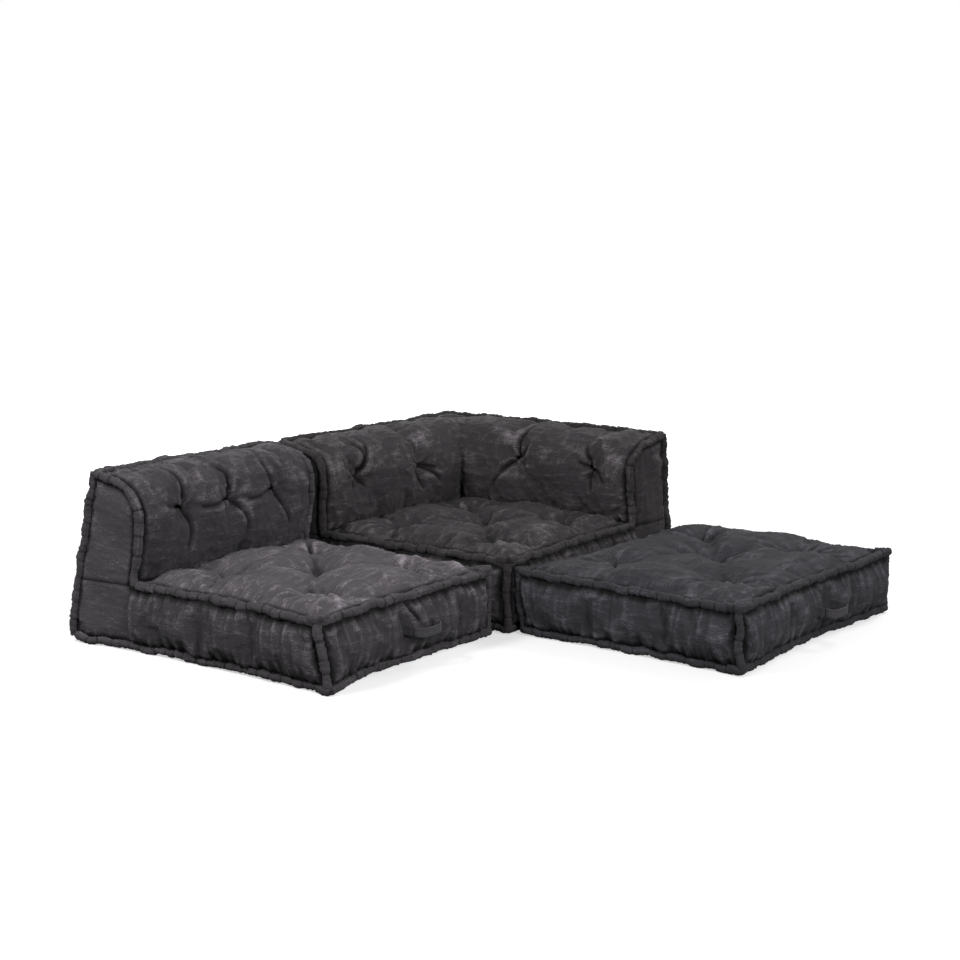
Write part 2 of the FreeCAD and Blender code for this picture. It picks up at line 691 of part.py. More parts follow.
def make_handle(module, boxing_half):
    """A carrying strap: a loop that swings between two tabs sewn into the side panel."""
    axis_x = f"({boxing_half} - seam_depth + boxing_bulge + strap_width / 2 + strap_standoff)"
    axis_z = f"({module.seat} / 2)"
    low = "(handle_offset - strap_span / 2)"
    high = "(handle_offset + strap_span / 2)"
    start = f"({axis_x} - strap_width / 2)"
    bend = f"({axis_x} + strap_straight)"
    crest = f"({axis_x} + strap_bow)"

    plan = doc.addObject("Sketcher::SketchObject", f"{module.name}_strap_plan")
    set_place(plan, "0", "0", f"({axis_z} - strap_width / 2)")
    draw_outline(plan, [
        (start, low),
        (bend, low),
        (crest, "handle_offset", "through"),
        (bend, high),
        (start, high),
        (start, f"({high} - strap_thickness)"),
        (bend, f"({high} - strap_thickness)"),
        (f"({crest} - strap_thickness)", "handle_offset", "through"),
        (bend, f"({low} + strap_thickness)"),
        (start, f"({low} + strap_thickness)"),
    ])
    band = doc.addObject("Part::Extrusion", f"{module.name}_strap_band")
    band.Base = plan
    band.DirMode = "Normal"
    band.Solid = True
    band.setExpression("LengthFwd", bound("strap_width"))

    side = doc.addObject("Sketcher::SketchObject", f"{module.name}_strap_side")
    side.Placement.Rotation = FreeCAD.Rotation(X_AXIS, 90)
    set_place(side, "0", high, "0")
    draw_outline(side, [
        (axis_x, f"({axis_z} + strap_width / 2)"),
        (start, axis_z, "through"),
        (axis_x, f"({axis_z} - strap_width / 2)"),
        (crest, f"({axis_z} - strap_width / 2)"),
        (crest, f"({axis_z} + strap_width / 2)"),
    ])
    slab = doc.addObject("Part::Extrusion", f"{module.name}_strap_slab")
    slab.Base = side
    slab.DirMode = "Normal"
    slab.Solid = True
    slab.setExpression("LengthFwd", bound("strap_span"))

    loop = doc.addObject("Part::Common", f"{module.name}_handle_strap")
    loop.Base = band
    loop.Tool = slab
    module.node(loop, "handle_strap")

    tabs = []
    sewn = f"({start} - strap_standoff - strap_sunk)"
    for place in (f"({low} - fit_clearance - strap_thickness)", f"({high} + fit_clearance)"):
        plate = doc.addObject("Part::Box", f"{module.name}_tab_plate")
        plate.setExpression("Length", bound(f"{axis_x} - {sewn}"))
        plate.setExpression("Width", bound("strap_thickness"))
        plate.setExpression("Height", bound("strap_width"))
        set_place(plate, sewn, place, f"({axis_z} - strap_width / 2)")
        nose = rod(axis_x, place, axis_z, "strap_width / 2", "strap_thickness", FreeCAD.Rotation(X_AXIS, -90))
        tab = doc.addObject("Part::Fuse", f"{module.name}_tab")
        tab.Base = plate
        tab.Tool = nose
        tabs.append(tab)
    module.group("handle_tabs", tabs)


def make_middle():
    """The armless module with one back."""
    half_x, half_y, seat = middle.half_x, middle.half_y, middle.seat
    back = Back(middle, "left")
    seat_rear = f"(back_depth - {half_x})"
    tufts = tuft_places(seat_rear, f"-{half_y}", half_x, half_y)
    buttons = [f"{middle.wide} * {share} / 4" for share in (1, 2, 3)]
    run_start = CHANNEL
    run_end = f"({middle.wide} - {CHANNEL})"

    make_core(middle, "seat_core", tufts)
    make_base(middle, tufts)
    make_top(middle, "seat_top", seat_rear, f"({CHANNEL} - {half_y})", f"({half_x} - {CHANNEL})",
             f"({half_y} - {CHANNEL})", tufts)
    for label, side in (("front", "+X"), ("rear", "-X"), ("left", "-Y"), ("right", "+Y")):
        make_boxing(middle, f"{label}_boxing", side)
    back.make_core(buttons, run_start, run_end, mitred=False)
    back.make_face(buttons, ((run_start, "back_end_bulge"), (half_y, "back_bulge"), (run_end, "back_end_bulge")),
                   mitred=False)
    back.make_rear(buttons, ((run_start, "back_end_bulge"), (half_y, "rear_bulge"), (run_end, "back_end_bulge")),
                   slanted_end=False)
    back.make_end("left_back_end", "0", "+")
    back.make_end("right_back_end", middle.wide, "-")
    domes, twines = back.button_solids(buttons)
    middle.group("back_buttons", domes)
    make_tufts(middle, "seat_tufts", tufts, twines)

    make_flat_ring(middle, "base_roll", "roll_radius")
    rim = f"({seat} - roll_radius)"
    end_y = f"({half_y} - roll_radius)"
    front_x = f"({half_x} - roll_radius)"
    foot_x = back.flat(back.front("roll_radius", rim))
    shoulder_depth, shoulder_z = back.shoulder_corner("roll_radius")
    top_depth, top_z = back.rear_top("roll_radius", "roll_radius")
    shoulder_x, top_x = back.flat(shoulder_depth), back.flat(top_depth)
    bend, wide_bend = value(ROLL_BEND), value("shoulder_radius - roll_radius")
    left_side = [(front_x, rim, bend), (foot_x, rim, bend), (shoulder_x, shoulder_z, wide_bend), (top_x, top_z, bend)]
    loop = [(point(x, end_y, z), turn) for x, z, turn in left_side]
    loop += [(point(x, f"-{end_y}", z), turn) for x, z, turn in reversed(left_side)]
    loop = loop[-1:] + loop[:-1]
    add_roll(middle, "upper_roll", [roll_ring([spot for spot, _ in loop], [turn for _, turn in loop])])
    uprights = [upright_roll(front_x, f"{sign}{end_y}", middle) for sign in "+-"]
    for sign in "+-":
        foot = point(f"-{front_x}", f"{sign}{end_y}", CHANNEL)
        uprights.append(rear_roll(foot, point(top_x, f"{sign}{end_y}", top_z), back.knee_height()))
    add_roll(middle, "corner_rolls", uprights)
    make_handle(middle, half_x)


def make_corner():
    """The module with two backs that meet at a mitred corner."""
    half, seat = corner.half_x, corner.seat
    seat_rear = f"(back_depth - {half})"
    seat_far = f"({half} - back_depth)"
    tufts = tuft_places(seat_rear, f"-{half}", half, seat_far)
    buttons = ["corner_button_end", "(corner_button_end + corner_button_pitch)"]
    inner = f"({corner.long} - back_depth)"

    make_core(corner, "seat_core", tufts)
    make_base(corner, tufts)
    make_top(corner, "seat_top", seat_rear, f"({CHANNEL} - {half})", f"({half} - {CHANNEL})", seat_far, tufts)
    for label, side in (("left", "-Y"), ("right", "+X"), ("left_rear", "-X"), ("right_rear", "+Y")):
        make_boxing(corner, f"{label}_boxing", side)

    domes = []
    twines = []
    backs = [Back(corner, side, f"{side}_") for side in ("left", "right")]
    for back in backs:
        back.make_core(buttons, CHANNEL, corner.long, mitred=True)
        back.make_face(buttons, ((CHANNEL, "back_end_bulge"), (f"({inner} / 2)", "back_bulge"),
                                 (inner, "back_end_bulge"), (corner.long, "back_end_bulge")), mitred=True)
        back.make_rear(buttons, ((CHANNEL, "back_end_bulge"), (half, "rear_bulge"), (corner.long, "back_end_bulge")),
                       slanted_end=True)
        back.make_end(f"{back.side}_back_end", "0", "+")
        more_domes, more_twines = back.button_solids(buttons)
        domes += more_domes
        twines += more_twines
    corner.group("back_buttons", domes)
    make_tufts(corner, "seat_tufts", tufts, twines)

    make_flat_ring(corner, "base_roll", "roll_radius")
    rim = f"({seat} - roll_radius)"
    edge = f"({half} - roll_radius)"
    left = backs[0]
    shoulder_depth, shoulder_z = left.shoulder_corner("roll_radius")
    top_depth, top_z = left.rear_top("roll_radius", "roll_radius")
    foot = left.flat(left.front("roll_radius", rim))
    shoulder_x, top_x = left.flat(shoulder_depth), left.flat(top_depth)
    bend, wide_bend = value(ROLL_BEND), value("shoulder_radius - roll_radius")
    loop = [
        (point(top_x, f"-{edge}", top_z), bend),
        (point(shoulder_x, f"-{edge}", shoulder_z), wide_bend),
        (point(foot, f"-{edge}", rim), bend),
        (point(edge, f"-{edge}", rim), bend),
        (point(edge, f"-{foot}", rim), bend),
        (point(edge, f"-{shoulder_x}", shoulder_z), wide_bend),
        (point(edge, f"-{top_x}", top_z), bend),
        (point(top_x, f"-{top_x}", top_z), bend),
    ]
    loop = loop[-1:] + loop[:-1]
    add_roll(corner, "upper_roll", [roll_ring([spot for spot, _ in loop], [turn for _, turn in loop])])
    rear_edges = (
        (f"-{edge}", f"-{edge}", top_x, f"-{edge}"),
        (edge, edge, edge, f"-{top_x}"),
        (f"-{edge}", edge, top_x, f"-{top_x}"),
    )
    uprights = [upright_roll(edge, f"-{edge}", corner)]
    for foot_x, foot_y, end_x, end_y in rear_edges:
        uprights.append(rear_roll(point(foot_x, foot_y, CHANNEL), point(end_x, end_y, top_z), left.knee_height()))
    add_roll(corner, "corner_rolls", uprights)


def make_pouf():
    """The flat module with no back."""
    half_x, half_y = pouf.half_x, pouf.half_y
    tufts = tuft_places(f"-{half_x}", f"-{half_y}", half_x, half_y)
    make_core(pouf, "core", tufts)
    make_base(pouf, tufts)
    inner_x, inner_y = f"({half_x} - {CHANNEL})", f"({half_y} - {CHANNEL})"
    make_top(pouf, "top", f"-{inner_x}", f"-{inner_y}", inner_x, inner_y, tufts)
    for label, side in (("left", "-X"), ("right", "+X"), ("near", "-Y"), ("far", "+Y")):
        make_boxing(pouf, f"{label}_boxing", side)
    make_tufts(pouf, "tufts", tufts)
    make_flat_ring(pouf, "base_roll", "roll_radius")
    make_flat_ring(pouf, "top_roll", f"({pouf.seat} - roll_radius)")
    edge_x, edge_y = f"({half_x} - roll_radius)", f"({half_y} - roll_radius)"
    add_roll(pouf, "corner_rolls", [upright_roll(f"{a}{edge_x}", f"{b}{edge_y}", pouf) for a in "+-" for b in "+-"])
    make_handle(pouf, half_x)


def check_and_write():
    """Stop on any failed object, then write each sub-part to its own file."""
    doc.recompute()
    for thing in doc.Objects:
        if "Invalid" in thing.State or "Error" in thing.State:
            raise RuntimeError(f"{thing.Label} failed: {thing.State}")
    for node in nodes:
        if node.Shape.isNull() or not node.Shape.isValid() or not node.Shape.Solids:
            raise RuntimeError(f"{node.Label} has no valid solid")
    os.makedirs("parts", exist_ok=True)
    for node in nodes:
        node.Shape.exportStep(f"parts/{node.Label}.step")


make_middle()
make_corner()
make_pouf()
check_and_write()
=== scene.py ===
"""Looks of the corner sofa: stonewashed canvas over tufted floor cushions with rolled, hand-stitched edges.

Each cushion's canvas is cut as patches that meet at its seams. A cloth simulation blows it up between the
seams and the tufts, and pull creases are pressed in after it. Rolled edges follow the seams.
"""
import math
import bmesh
import bpy
import numpy as np
from mathutils import Matrix, Vector, kdtree


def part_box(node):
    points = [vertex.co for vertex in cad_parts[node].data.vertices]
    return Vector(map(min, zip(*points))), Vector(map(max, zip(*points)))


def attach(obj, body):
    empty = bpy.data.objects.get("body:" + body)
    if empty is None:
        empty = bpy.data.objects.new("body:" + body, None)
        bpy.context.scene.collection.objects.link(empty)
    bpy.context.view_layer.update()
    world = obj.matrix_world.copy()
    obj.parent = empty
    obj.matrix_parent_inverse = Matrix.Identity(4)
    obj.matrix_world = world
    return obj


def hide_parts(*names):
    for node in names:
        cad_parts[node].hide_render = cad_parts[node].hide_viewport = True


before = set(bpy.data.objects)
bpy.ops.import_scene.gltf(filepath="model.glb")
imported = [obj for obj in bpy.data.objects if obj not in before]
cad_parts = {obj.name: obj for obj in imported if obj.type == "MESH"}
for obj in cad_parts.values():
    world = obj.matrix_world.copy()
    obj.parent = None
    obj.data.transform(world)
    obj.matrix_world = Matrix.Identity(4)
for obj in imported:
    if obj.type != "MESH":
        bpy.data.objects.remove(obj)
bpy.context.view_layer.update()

# Driving sizes in metres, the same as the solids'.
ROLL = 0.014
BACK_HEIGHT = 0.486
BACK_DEPTH = 0.235
SHOULDER = 0.100
FRONT_TILT = math.radians(7.4)
TOP_TILT = math.radians(11)
BUTTON_HEIGHT = 0.378
TUFT_DROP = 0.018
HANDLE_REACH = 0.023
HANDLE_OFFSET = 0.020

# Carrying straps.
STRAP_WIDTH = 0.025
STRAP_THICK = 0.003
STRAP_SPAN = 0.098
STRAP_BOW = 0.028
STRAP_SAG = 0.0035
STRAP_HEM = 0.0085
STRAP_STITCH = 0.0006
STRAP_STITCH_SPACING = 0.0048

# Buttons of the backs: place along the back, height, and the creases that run out from each,
# as steps along the back and up.
MIDDLE_BUTTONS = (
    (-0.1775, 0.370, (
        ((0.016, 0.050), (-0.004, 0.085), (-0.024, 0.130)),
        ((0.025, -0.050), (0.012, -0.100), (0.014, -0.150)),
        ((-0.050, 0.008), (-0.100, 0.016)),
    )),
    (0.0, 0.370, (
        ((0.008, 0.030), (0.016, 0.058), (-0.010, 0.090), (-0.040, 0.125)),
        ((0.042, -0.035), (0.056, -0.080), (0.050, -0.150)),
        ((-0.080, -0.012), (-0.165, 0.0)),
    )),
    (0.1775, 0.370, (
        ((-0.008, 0.022), (-0.030, 0.060), (-0.026, 0.120)),
        ((0.030, -0.046), (0.052, -0.095), (0.050, -0.145)),
        ((-0.085, -0.012), (-0.165, 0.0)),
    )),
)
LEFT_BUTTONS = (
    (-0.305, 0.364, (
        ((0.050, 0.048), (0.032, 0.095), (-0.014, 0.125)),
        ((0.036, 0.030), (0.066, 0.075), (0.056, 0.125)),
        ((0.020, -0.018), (0.030, -0.040)),
    )),
    (-0.020, 0.364, (
        ((-0.015, 0.022), (0.008, 0.058), (-0.022, 0.098)),
        ((0.064, -0.028), (0.105, -0.080)),
        ((0.040, -0.004), (0.090, -0.020)),
        ((0.010, -0.050), (0.030, -0.090)),
    )),
)
RIGHT_BUTTONS = (
    (0.020, 0.376, (
        ((0.0, 0.027), (-0.006, 0.054), (0.030, 0.105), (0.052, 0.150)),
        ((-0.050, -0.036), (-0.080, -0.075), (-0.104, -0.120)),
        ((0.030, 0.020), (0.045, 0.045)),
    )),
    (0.305, 0.374, (
        ((-0.020, 0.035), (-0.030, 0.070)),
        ((0.030, -0.020), (0.055, -0.050)),
        ((-0.030, 0.004), (-0.055, 0.014)),
        ((-0.012, -0.030), (-0.006, -0.080)),
    )),
)

# Canvas: its seams and grid, and how unevenly the cushions are filled.
SEAM = 0.017
SEAM_SHADOW = 0.0190
STEP = 0.009
WELD = 2e-4
WELD_SHIFT = 0.0371
UNEVEN = 0.0025
UNEVEN_SIZE = 0.22
LUMP = 0.004
LUMP_SIZE = 0.16
FLOOR_CLEARANCE = 0.0004
UNDERSIDE_TURNS = ((0.012, 0.007), (0.018, 0.003))

# How far each kind of panel swells from its seams and how soon, and how far the simulation may move it.
SWELL = {"seat": (0.060, 0.085), "box": (0.031, 0.024), "face": (0.026, 0.045), "end": (0.011, 0.045),
         "rear": (0.018, 0.060)}
POUF_PLUMP = 0.62
SETTLE_CAPS = {"seat": 0.028, "box": 0.020, "face": 0.008, "end": 0.005, "rear": 0.010}

# Tufts: width and sharpness of a dimple, its floor measured out from the seams, and the radius held still.
SEAT_TUFT = (0.085, 1.2, SEAM - TUFT_DROP, 0.012)
FACE_BUTTON = (0.030, 1.25, -0.026, 0.010)
REAR_BUTTON = (0.030, 1.1, 0.0, 0.010)

# Cloth simulation: canvas under pressure, held at its seams, with cloth to spare in the side panels.
SIM_FRAMES = 26
CLOTH = {
    "quality": 6, "mass": 0.25, "air_damping": 2.0,
    "tension_stiffness": 30, "compression_stiffness": 30, "shear_stiffness": 12, "bending_stiffness": 0.6,
    "vertex_group_mass": "held", "pin_stiffness": 1.0,
    "vertex_group_shrink": "spare", "shrink_min": -0.05, "shrink_max": -0.09,
    "use_pressure": True, "uniform_pressure_force": 4.0,
}

# Creases: smoothing rounds that find the crests and their weights, seat crumples, and depths of front pleats.
CREST_ROUNDS = {10: 1, 60: 0.5}
CRUMPLE = {"middle": 0.55, "corner": 0.75, "pouf": 0.55}
FRONT_PLEAT = {"middle": 0.022, "pouf": 0.009}

# Rolled edges: spacing of their stitches, plumpness, pinches and folds, and the twine that pinches them.
STITCH_SPACING = 0.041
STITCH_UNEVENNESS = 0.09
ROLL_STEP = 0.022
ROLL_DIVISION = 0.0036
ROLL_WANDER = 0.0022
ROLL_LEAST = 0.57
ROLL_SLACK = 0.50
ROLL_GIRTH = 0.088
PINCH_DEPTH = 0.22
PINCH_SHARPNESS = 9.0
FOLD_HEIGHT = 0.0120
FOLD_RATE = 120.0
FOLD_TURN = 1.1
TWINE_RING = 0.63
TWINE = 0.0009
EAR_RUN = 0.034
EAR_OUT = 0.009
EAR_INSET = 0.002
EAR_LIFT = {"middle": 0.013, "corner": 0.013, "pouf": 0.006}

# How much lighter, or darker, the rolls and each kind of panel are than the rest of a cushion.
ROLL_TONE_SHIFT = 0.35
PANEL_TONE_SHIFTS = {
    "middle": {"seat": 0.66, "end": 0.50, "box": -0.02, "face": 0.0},
    "corner": {"seat": 0.12, "end": 0.25, "face": 0.48, "rear": 0.15},
    "pouf": {"seat": 0.22, "box": 0.28},
}

# Solids that each canvas cover stands for.
PANELS = {
    "middle": ("seat_core", "back_core", "seat_top", "front_boxing", "rear_boxing", "left_boxing",
               "right_boxing", "backrest_front", "backrest_rear", "left_back_end", "right_back_end",
               "base_panel"),
    "corner": ("seat_core", "left_back_core", "right_back_core", "seat_top", "left_boxing", "right_boxing",
               "left_rear_boxing", "right_rear_boxing", "left_backrest_front", "right_backrest_front",
               "left_backrest_rear", "right_backrest_rear", "left_back_end", "right_back_end", "base_panel"),
    "pouf": ("core", "top", "near_boxing", "far_boxing", "left_boxing", "right_boxing", "base_panel"),
}

# Canvas: its dye, its chalky tone where it is worn and where crests take a painted highlight, and where its
# pattern starts.
DYES = {
    "middle": ((0.037, 0.0337, 0.0372, 1), (0.200, 0.182, 0.200, 1), (0, 0, 0)),
    "corner": ((0.0215, 0.0194, 0.0210, 1), (0.128, 0.116, 0.124, 1), (3, 5, 0)),
    "pouf": ((0.0225, 0.0221, 0.0258, 1), (0.112, 0.110, 0.127, 1), (7, 2, 0)),
    "strap": ((0.052, 0.0490, 0.0526, 1), (0.180, 0.168, 0.181, 1), (1, 9, 0)),
}
SHADOW = (0.003, 0.0028, 0.003, 1)
THREAD_PITCH = 0.0024
CRUMPLE_DEPTH = 0.0075
SPECULAR = 0.12
SHEEN = 0.03

# Lamps: place, target, size and power.
LAMPS = {
    "key": ((-0.9, -3.0, 2.9), (0.1, -0.4, 0.2), 1.0, 88),
    "top": ((1.7, 2.1, 2.9), (0.3, -0.3, 0.1), 1.2, 60),
    "fill": ((4.8, -2.6, 2.3), (-0.2, -0.3, 0.2), 1.4, 178),
    "rear": ((-3.2, 2.4, 1.7), (-0.2, 0.0, 0.25), 1.6, 80),
}
SKY = 0.27

# Camera at the photograph's place. Its focal length is in pixels of the photograph.
CAMERA_PLACE = (3.1093, -4.2116, 1.2040)
CAMERA_DOWN = 9.457
CAMERA_TURN = 36.227
FOCAL_LENGTH = 1716.6
PHOTO_WIDTH = 960
SENSOR_WIDTH = 36


def waves(points, size, seed):
    """Smooth random heights, about -1 to 1, made of waves of one size."""
    chance = np.random.default_rng(seed)
    total = np.zeros(len(points))
    for _ in range(9):
        direction = chance.normal(size=points.shape[1])
        direction *= chance.uniform(0.7, 1.4) * 2 * math.pi / (size * np.linalg.norm(direction))
        total += np.sin(points @ direction + chance.uniform(0, 2 * math.pi))
    return total / 3


def ridges(points, size, seed):
    """Random heights with sharp crests and rounded valleys, about -1 to 1."""
    return 1 - 2 * np.abs(np.tanh(waves(points, size, seed)))


class Cushion:
    """One loose module in its own frame: x from its rear, y along its back, z up from its base."""

    def __init__(self, name, long, wide, seat, lean=0.0, turn=0.0, waist=0.010, leans=()):
        low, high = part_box(f"{name}_base_roll")
        centre = (low + high) / 2
        self.name = name
        self.half_x = long / 2
        self.half_y = wide / 2
        self.seat = seat
        self.rim = seat - SEAM
        self.lean = lean
        self.waist = waist
        self.leans = leans
        self.place = Matrix.Translation((centre.x, centre.y, 0)) @ Matrix.Rotation(turn, 4, "Z")

    def slumped(self, points):
        """Points moved as the filling settles: edges draw in between corners, and some corners lean."""
        points = np.array(points, float)
        across, along = points[:, 0] / self.half_x, points[:, 1] / self.half_y
        points[:, 0] -= self.waist * across ** 3 * np.clip(1 - along ** 2, 0, 1)
        points[:, 1] -= self.waist * along ** 3 * np.clip(1 - across ** 2, 0, 1)
        for place, push, reach in self.leans:
            distance = np.linalg.norm(points - np.array(place), axis=1)
            points += np.exp(-(distance / reach) ** 2)[:, None] * np.array(push)
        for axis, share in enumerate((1, 1, 0.6)):
            points[:, axis] += UNEVEN * waves(points, UNEVEN_SIZE, 10 * len(self.name) + axis) * share
        return points

    def to_world(self, points):
        """Points of the module's own frame as points of the whole set."""
        matrix = np.array(self.place)
        return np.asarray(points, float) @ matrix[:3, :3].T + matrix[:3, 3]


# Each lean has its centre, its push and its reach.
middle = Cushion("middle", 0.900, 0.710, 0.194, lean=0.067, waist=0.012, leans=(
    ((0.45, -0.355, 0.01), (0.022, -0.004, 0.0), 0.13),
    ((0.45, -0.355, 0.19), (-0.012, -0.006, -0.004), 0.13),
    ((-0.45, -0.355, 0.01), (-0.008, -0.020, 0.0), 0.15),
    ((-0.25, 0.355, 0.36), (0.0, 0.014, 0.0), 0.22),
    ((0.45, 0.050, 0.19), (-0.010, 0.0, -0.007), 0.06),
    ((0.45, -0.10, 0.0), (-0.012, 0.0, 0.0), 0.12),
))
corner = Cushion("corner", 0.900, 0.900, 0.216, lean=0.055, waist=0.008, leans=(
    ((0.45, 0.40, 0.48), (0.014, 0.0, -0.003), 0.16),
    ((-0.25, -0.45, 0.38), (-0.022, -0.007, 0.0), 0.20),
))
pouf = Cushion("pouf", 0.700, 0.900, 0.186, turn=math.radians(-2), waist=0.016, leans=(
    ((-0.35, 0.45, 0.18), (-0.012, 0.0, 0.0), 0.16),
    ((0.35, 0.05, 0.0), (-0.010, 0.0, 0.0), 0.17),
    ((-0.35, -0.45, 0.18), (-0.018, 0.0, 0.0), 0.16),
    ((0.35, 0.45, 0.01), (-0.008, -0.010, 0.0), 0.16),
    ((0.35, -0.45, 0.01), (0.004, 0.008, 0.0), 0.14),
))


class BackShape:
    """Cross-section of a back: depth runs from its rear towards the seat."""

    def __init__(self, cushion):
        self.seat = cushion.seat
        self.lean = cushion.lean
        self.foot = cushion.seat - 2 * ROLL
        self.slope = cushion.lean / (BACK_HEIGHT - self.foot)

    def front(self, inset, height):
        """Depth of the face's line."""
        return BACK_DEPTH - inset / math.cos(FRONT_TILT) + (height - self.seat) * math.tan(FRONT_TILT)

    def rear(self, inset, height):
        """Depth of the rear's line."""
        return inset * math.hypot(1, self.slope) + (height - self.foot) * self.slope

    def top_line(self, inset):
        """Height of the top's line at depth 0."""
        return BACK_HEIGHT - inset / math.cos(TOP_TILT) + self.lean * math.tan(TOP_TILT)

    def rear_top(self, inset):
        """Where the rear's and the top's lines cross."""
        line = self.top_line(inset)
        depth = self.rear(inset, line) / (1 + math.tan(TOP_TILT) * self.slope)
        return np.array((depth, line - depth * math.tan(TOP_TILT)))

    def profile(self, inset, foot_height, rise_steps, top_steps):
        """Even points up the face to the middle of the shoulder, then over it and along the top."""
        line = self.top_line(inset)
        depth = self.front(inset, line) / (1 + math.tan(TOP_TILT) * math.tan(FRONT_TILT))
        corner_point = np.array((depth, line - depth * math.tan(TOP_TILT)))
        radius = SHOULDER - inset
        reach = radius * math.tan((math.pi / 2 + FRONT_TILT - TOP_TILT) / 2)
        leave = corner_point - reach * np.array((math.sin(FRONT_TILT), math.cos(FRONT_TILT)))
        centre = leave + radius * np.array((-math.cos(FRONT_TILT), math.sin(FRONT_TILT)))

        def arc(first, last):
            angles = np.linspace(first, last, 24)
            return [centre + radius * np.array((math.cos(angle), math.sin(angle))) for angle in angles]

        start, finish = -FRONT_TILT, math.pi / 2 - TOP_TILT
        half_way = (start + finish) / 2
        foot = np.array((self.front(inset, foot_height), foot_height))
        rising = even_points([foot, *arc(start, half_way)], rise_steps)
        topping = even_points([*arc(half_way, finish), self.rear_top(inset)], top_steps)
        return np.concatenate((rising, topping[1:]))


def travelled(points):
    """Distance covered at each point of a line."""
    return np.concatenate(([0], np.cumsum(np.linalg.norm(np.diff(points, axis=0), axis=1))))


def even_points(points, steps):
    """Points at even distances along a line of points."""
    points = np.asarray(points, float)
    distance = travelled(points)
    stops = np.linspace(0, distance[-1], steps + 1)
    return np.stack([np.interp(stops, distance, column) for column in points.T], axis=-1)


def spread(low, high):
    """Even positions about a cloth step apart."""
    return np.linspace(low, high, max(2, round(abs(high - low) / STEP)) + 1)


def panel(x, y, z):
    """A grid of points from three arrays that fit together."""
    return np.stack(np.broadcast_arrays(x, y, z), axis=-1).astype(float)


def blend_edges(low, high, left, right):
    """A grid that fills four edges. low and high run along the columns, left and right along the rows."""
    s = np.linspace(0, 1, len(low))[None, :, None]
    t = np.linspace(0, 1, len(left))[:, None, None]
    ruled = (1 - t) * low[None] + t * high[None] + (1 - s) * left[:, None] + s * right[:, None]
    corners = (1 - t) * ((1 - s) * low[0] + s * low[-1]) + t * ((1 - s) * high[0] + s * high[-1])
    return ruled - corners


def quincunx(low, high):
    """A seat's tufts: the middle and the quarter points."""
    low, high = np.asarray(low, float), np.asarray(high, float)
    centre, quarter = (low + high) / 2, (high - low) / 4
    return [centre] + [centre + quarter * np.array(sign) for sign in ((1, 1), (1, -1), (-1, 1), (-1, -1))]


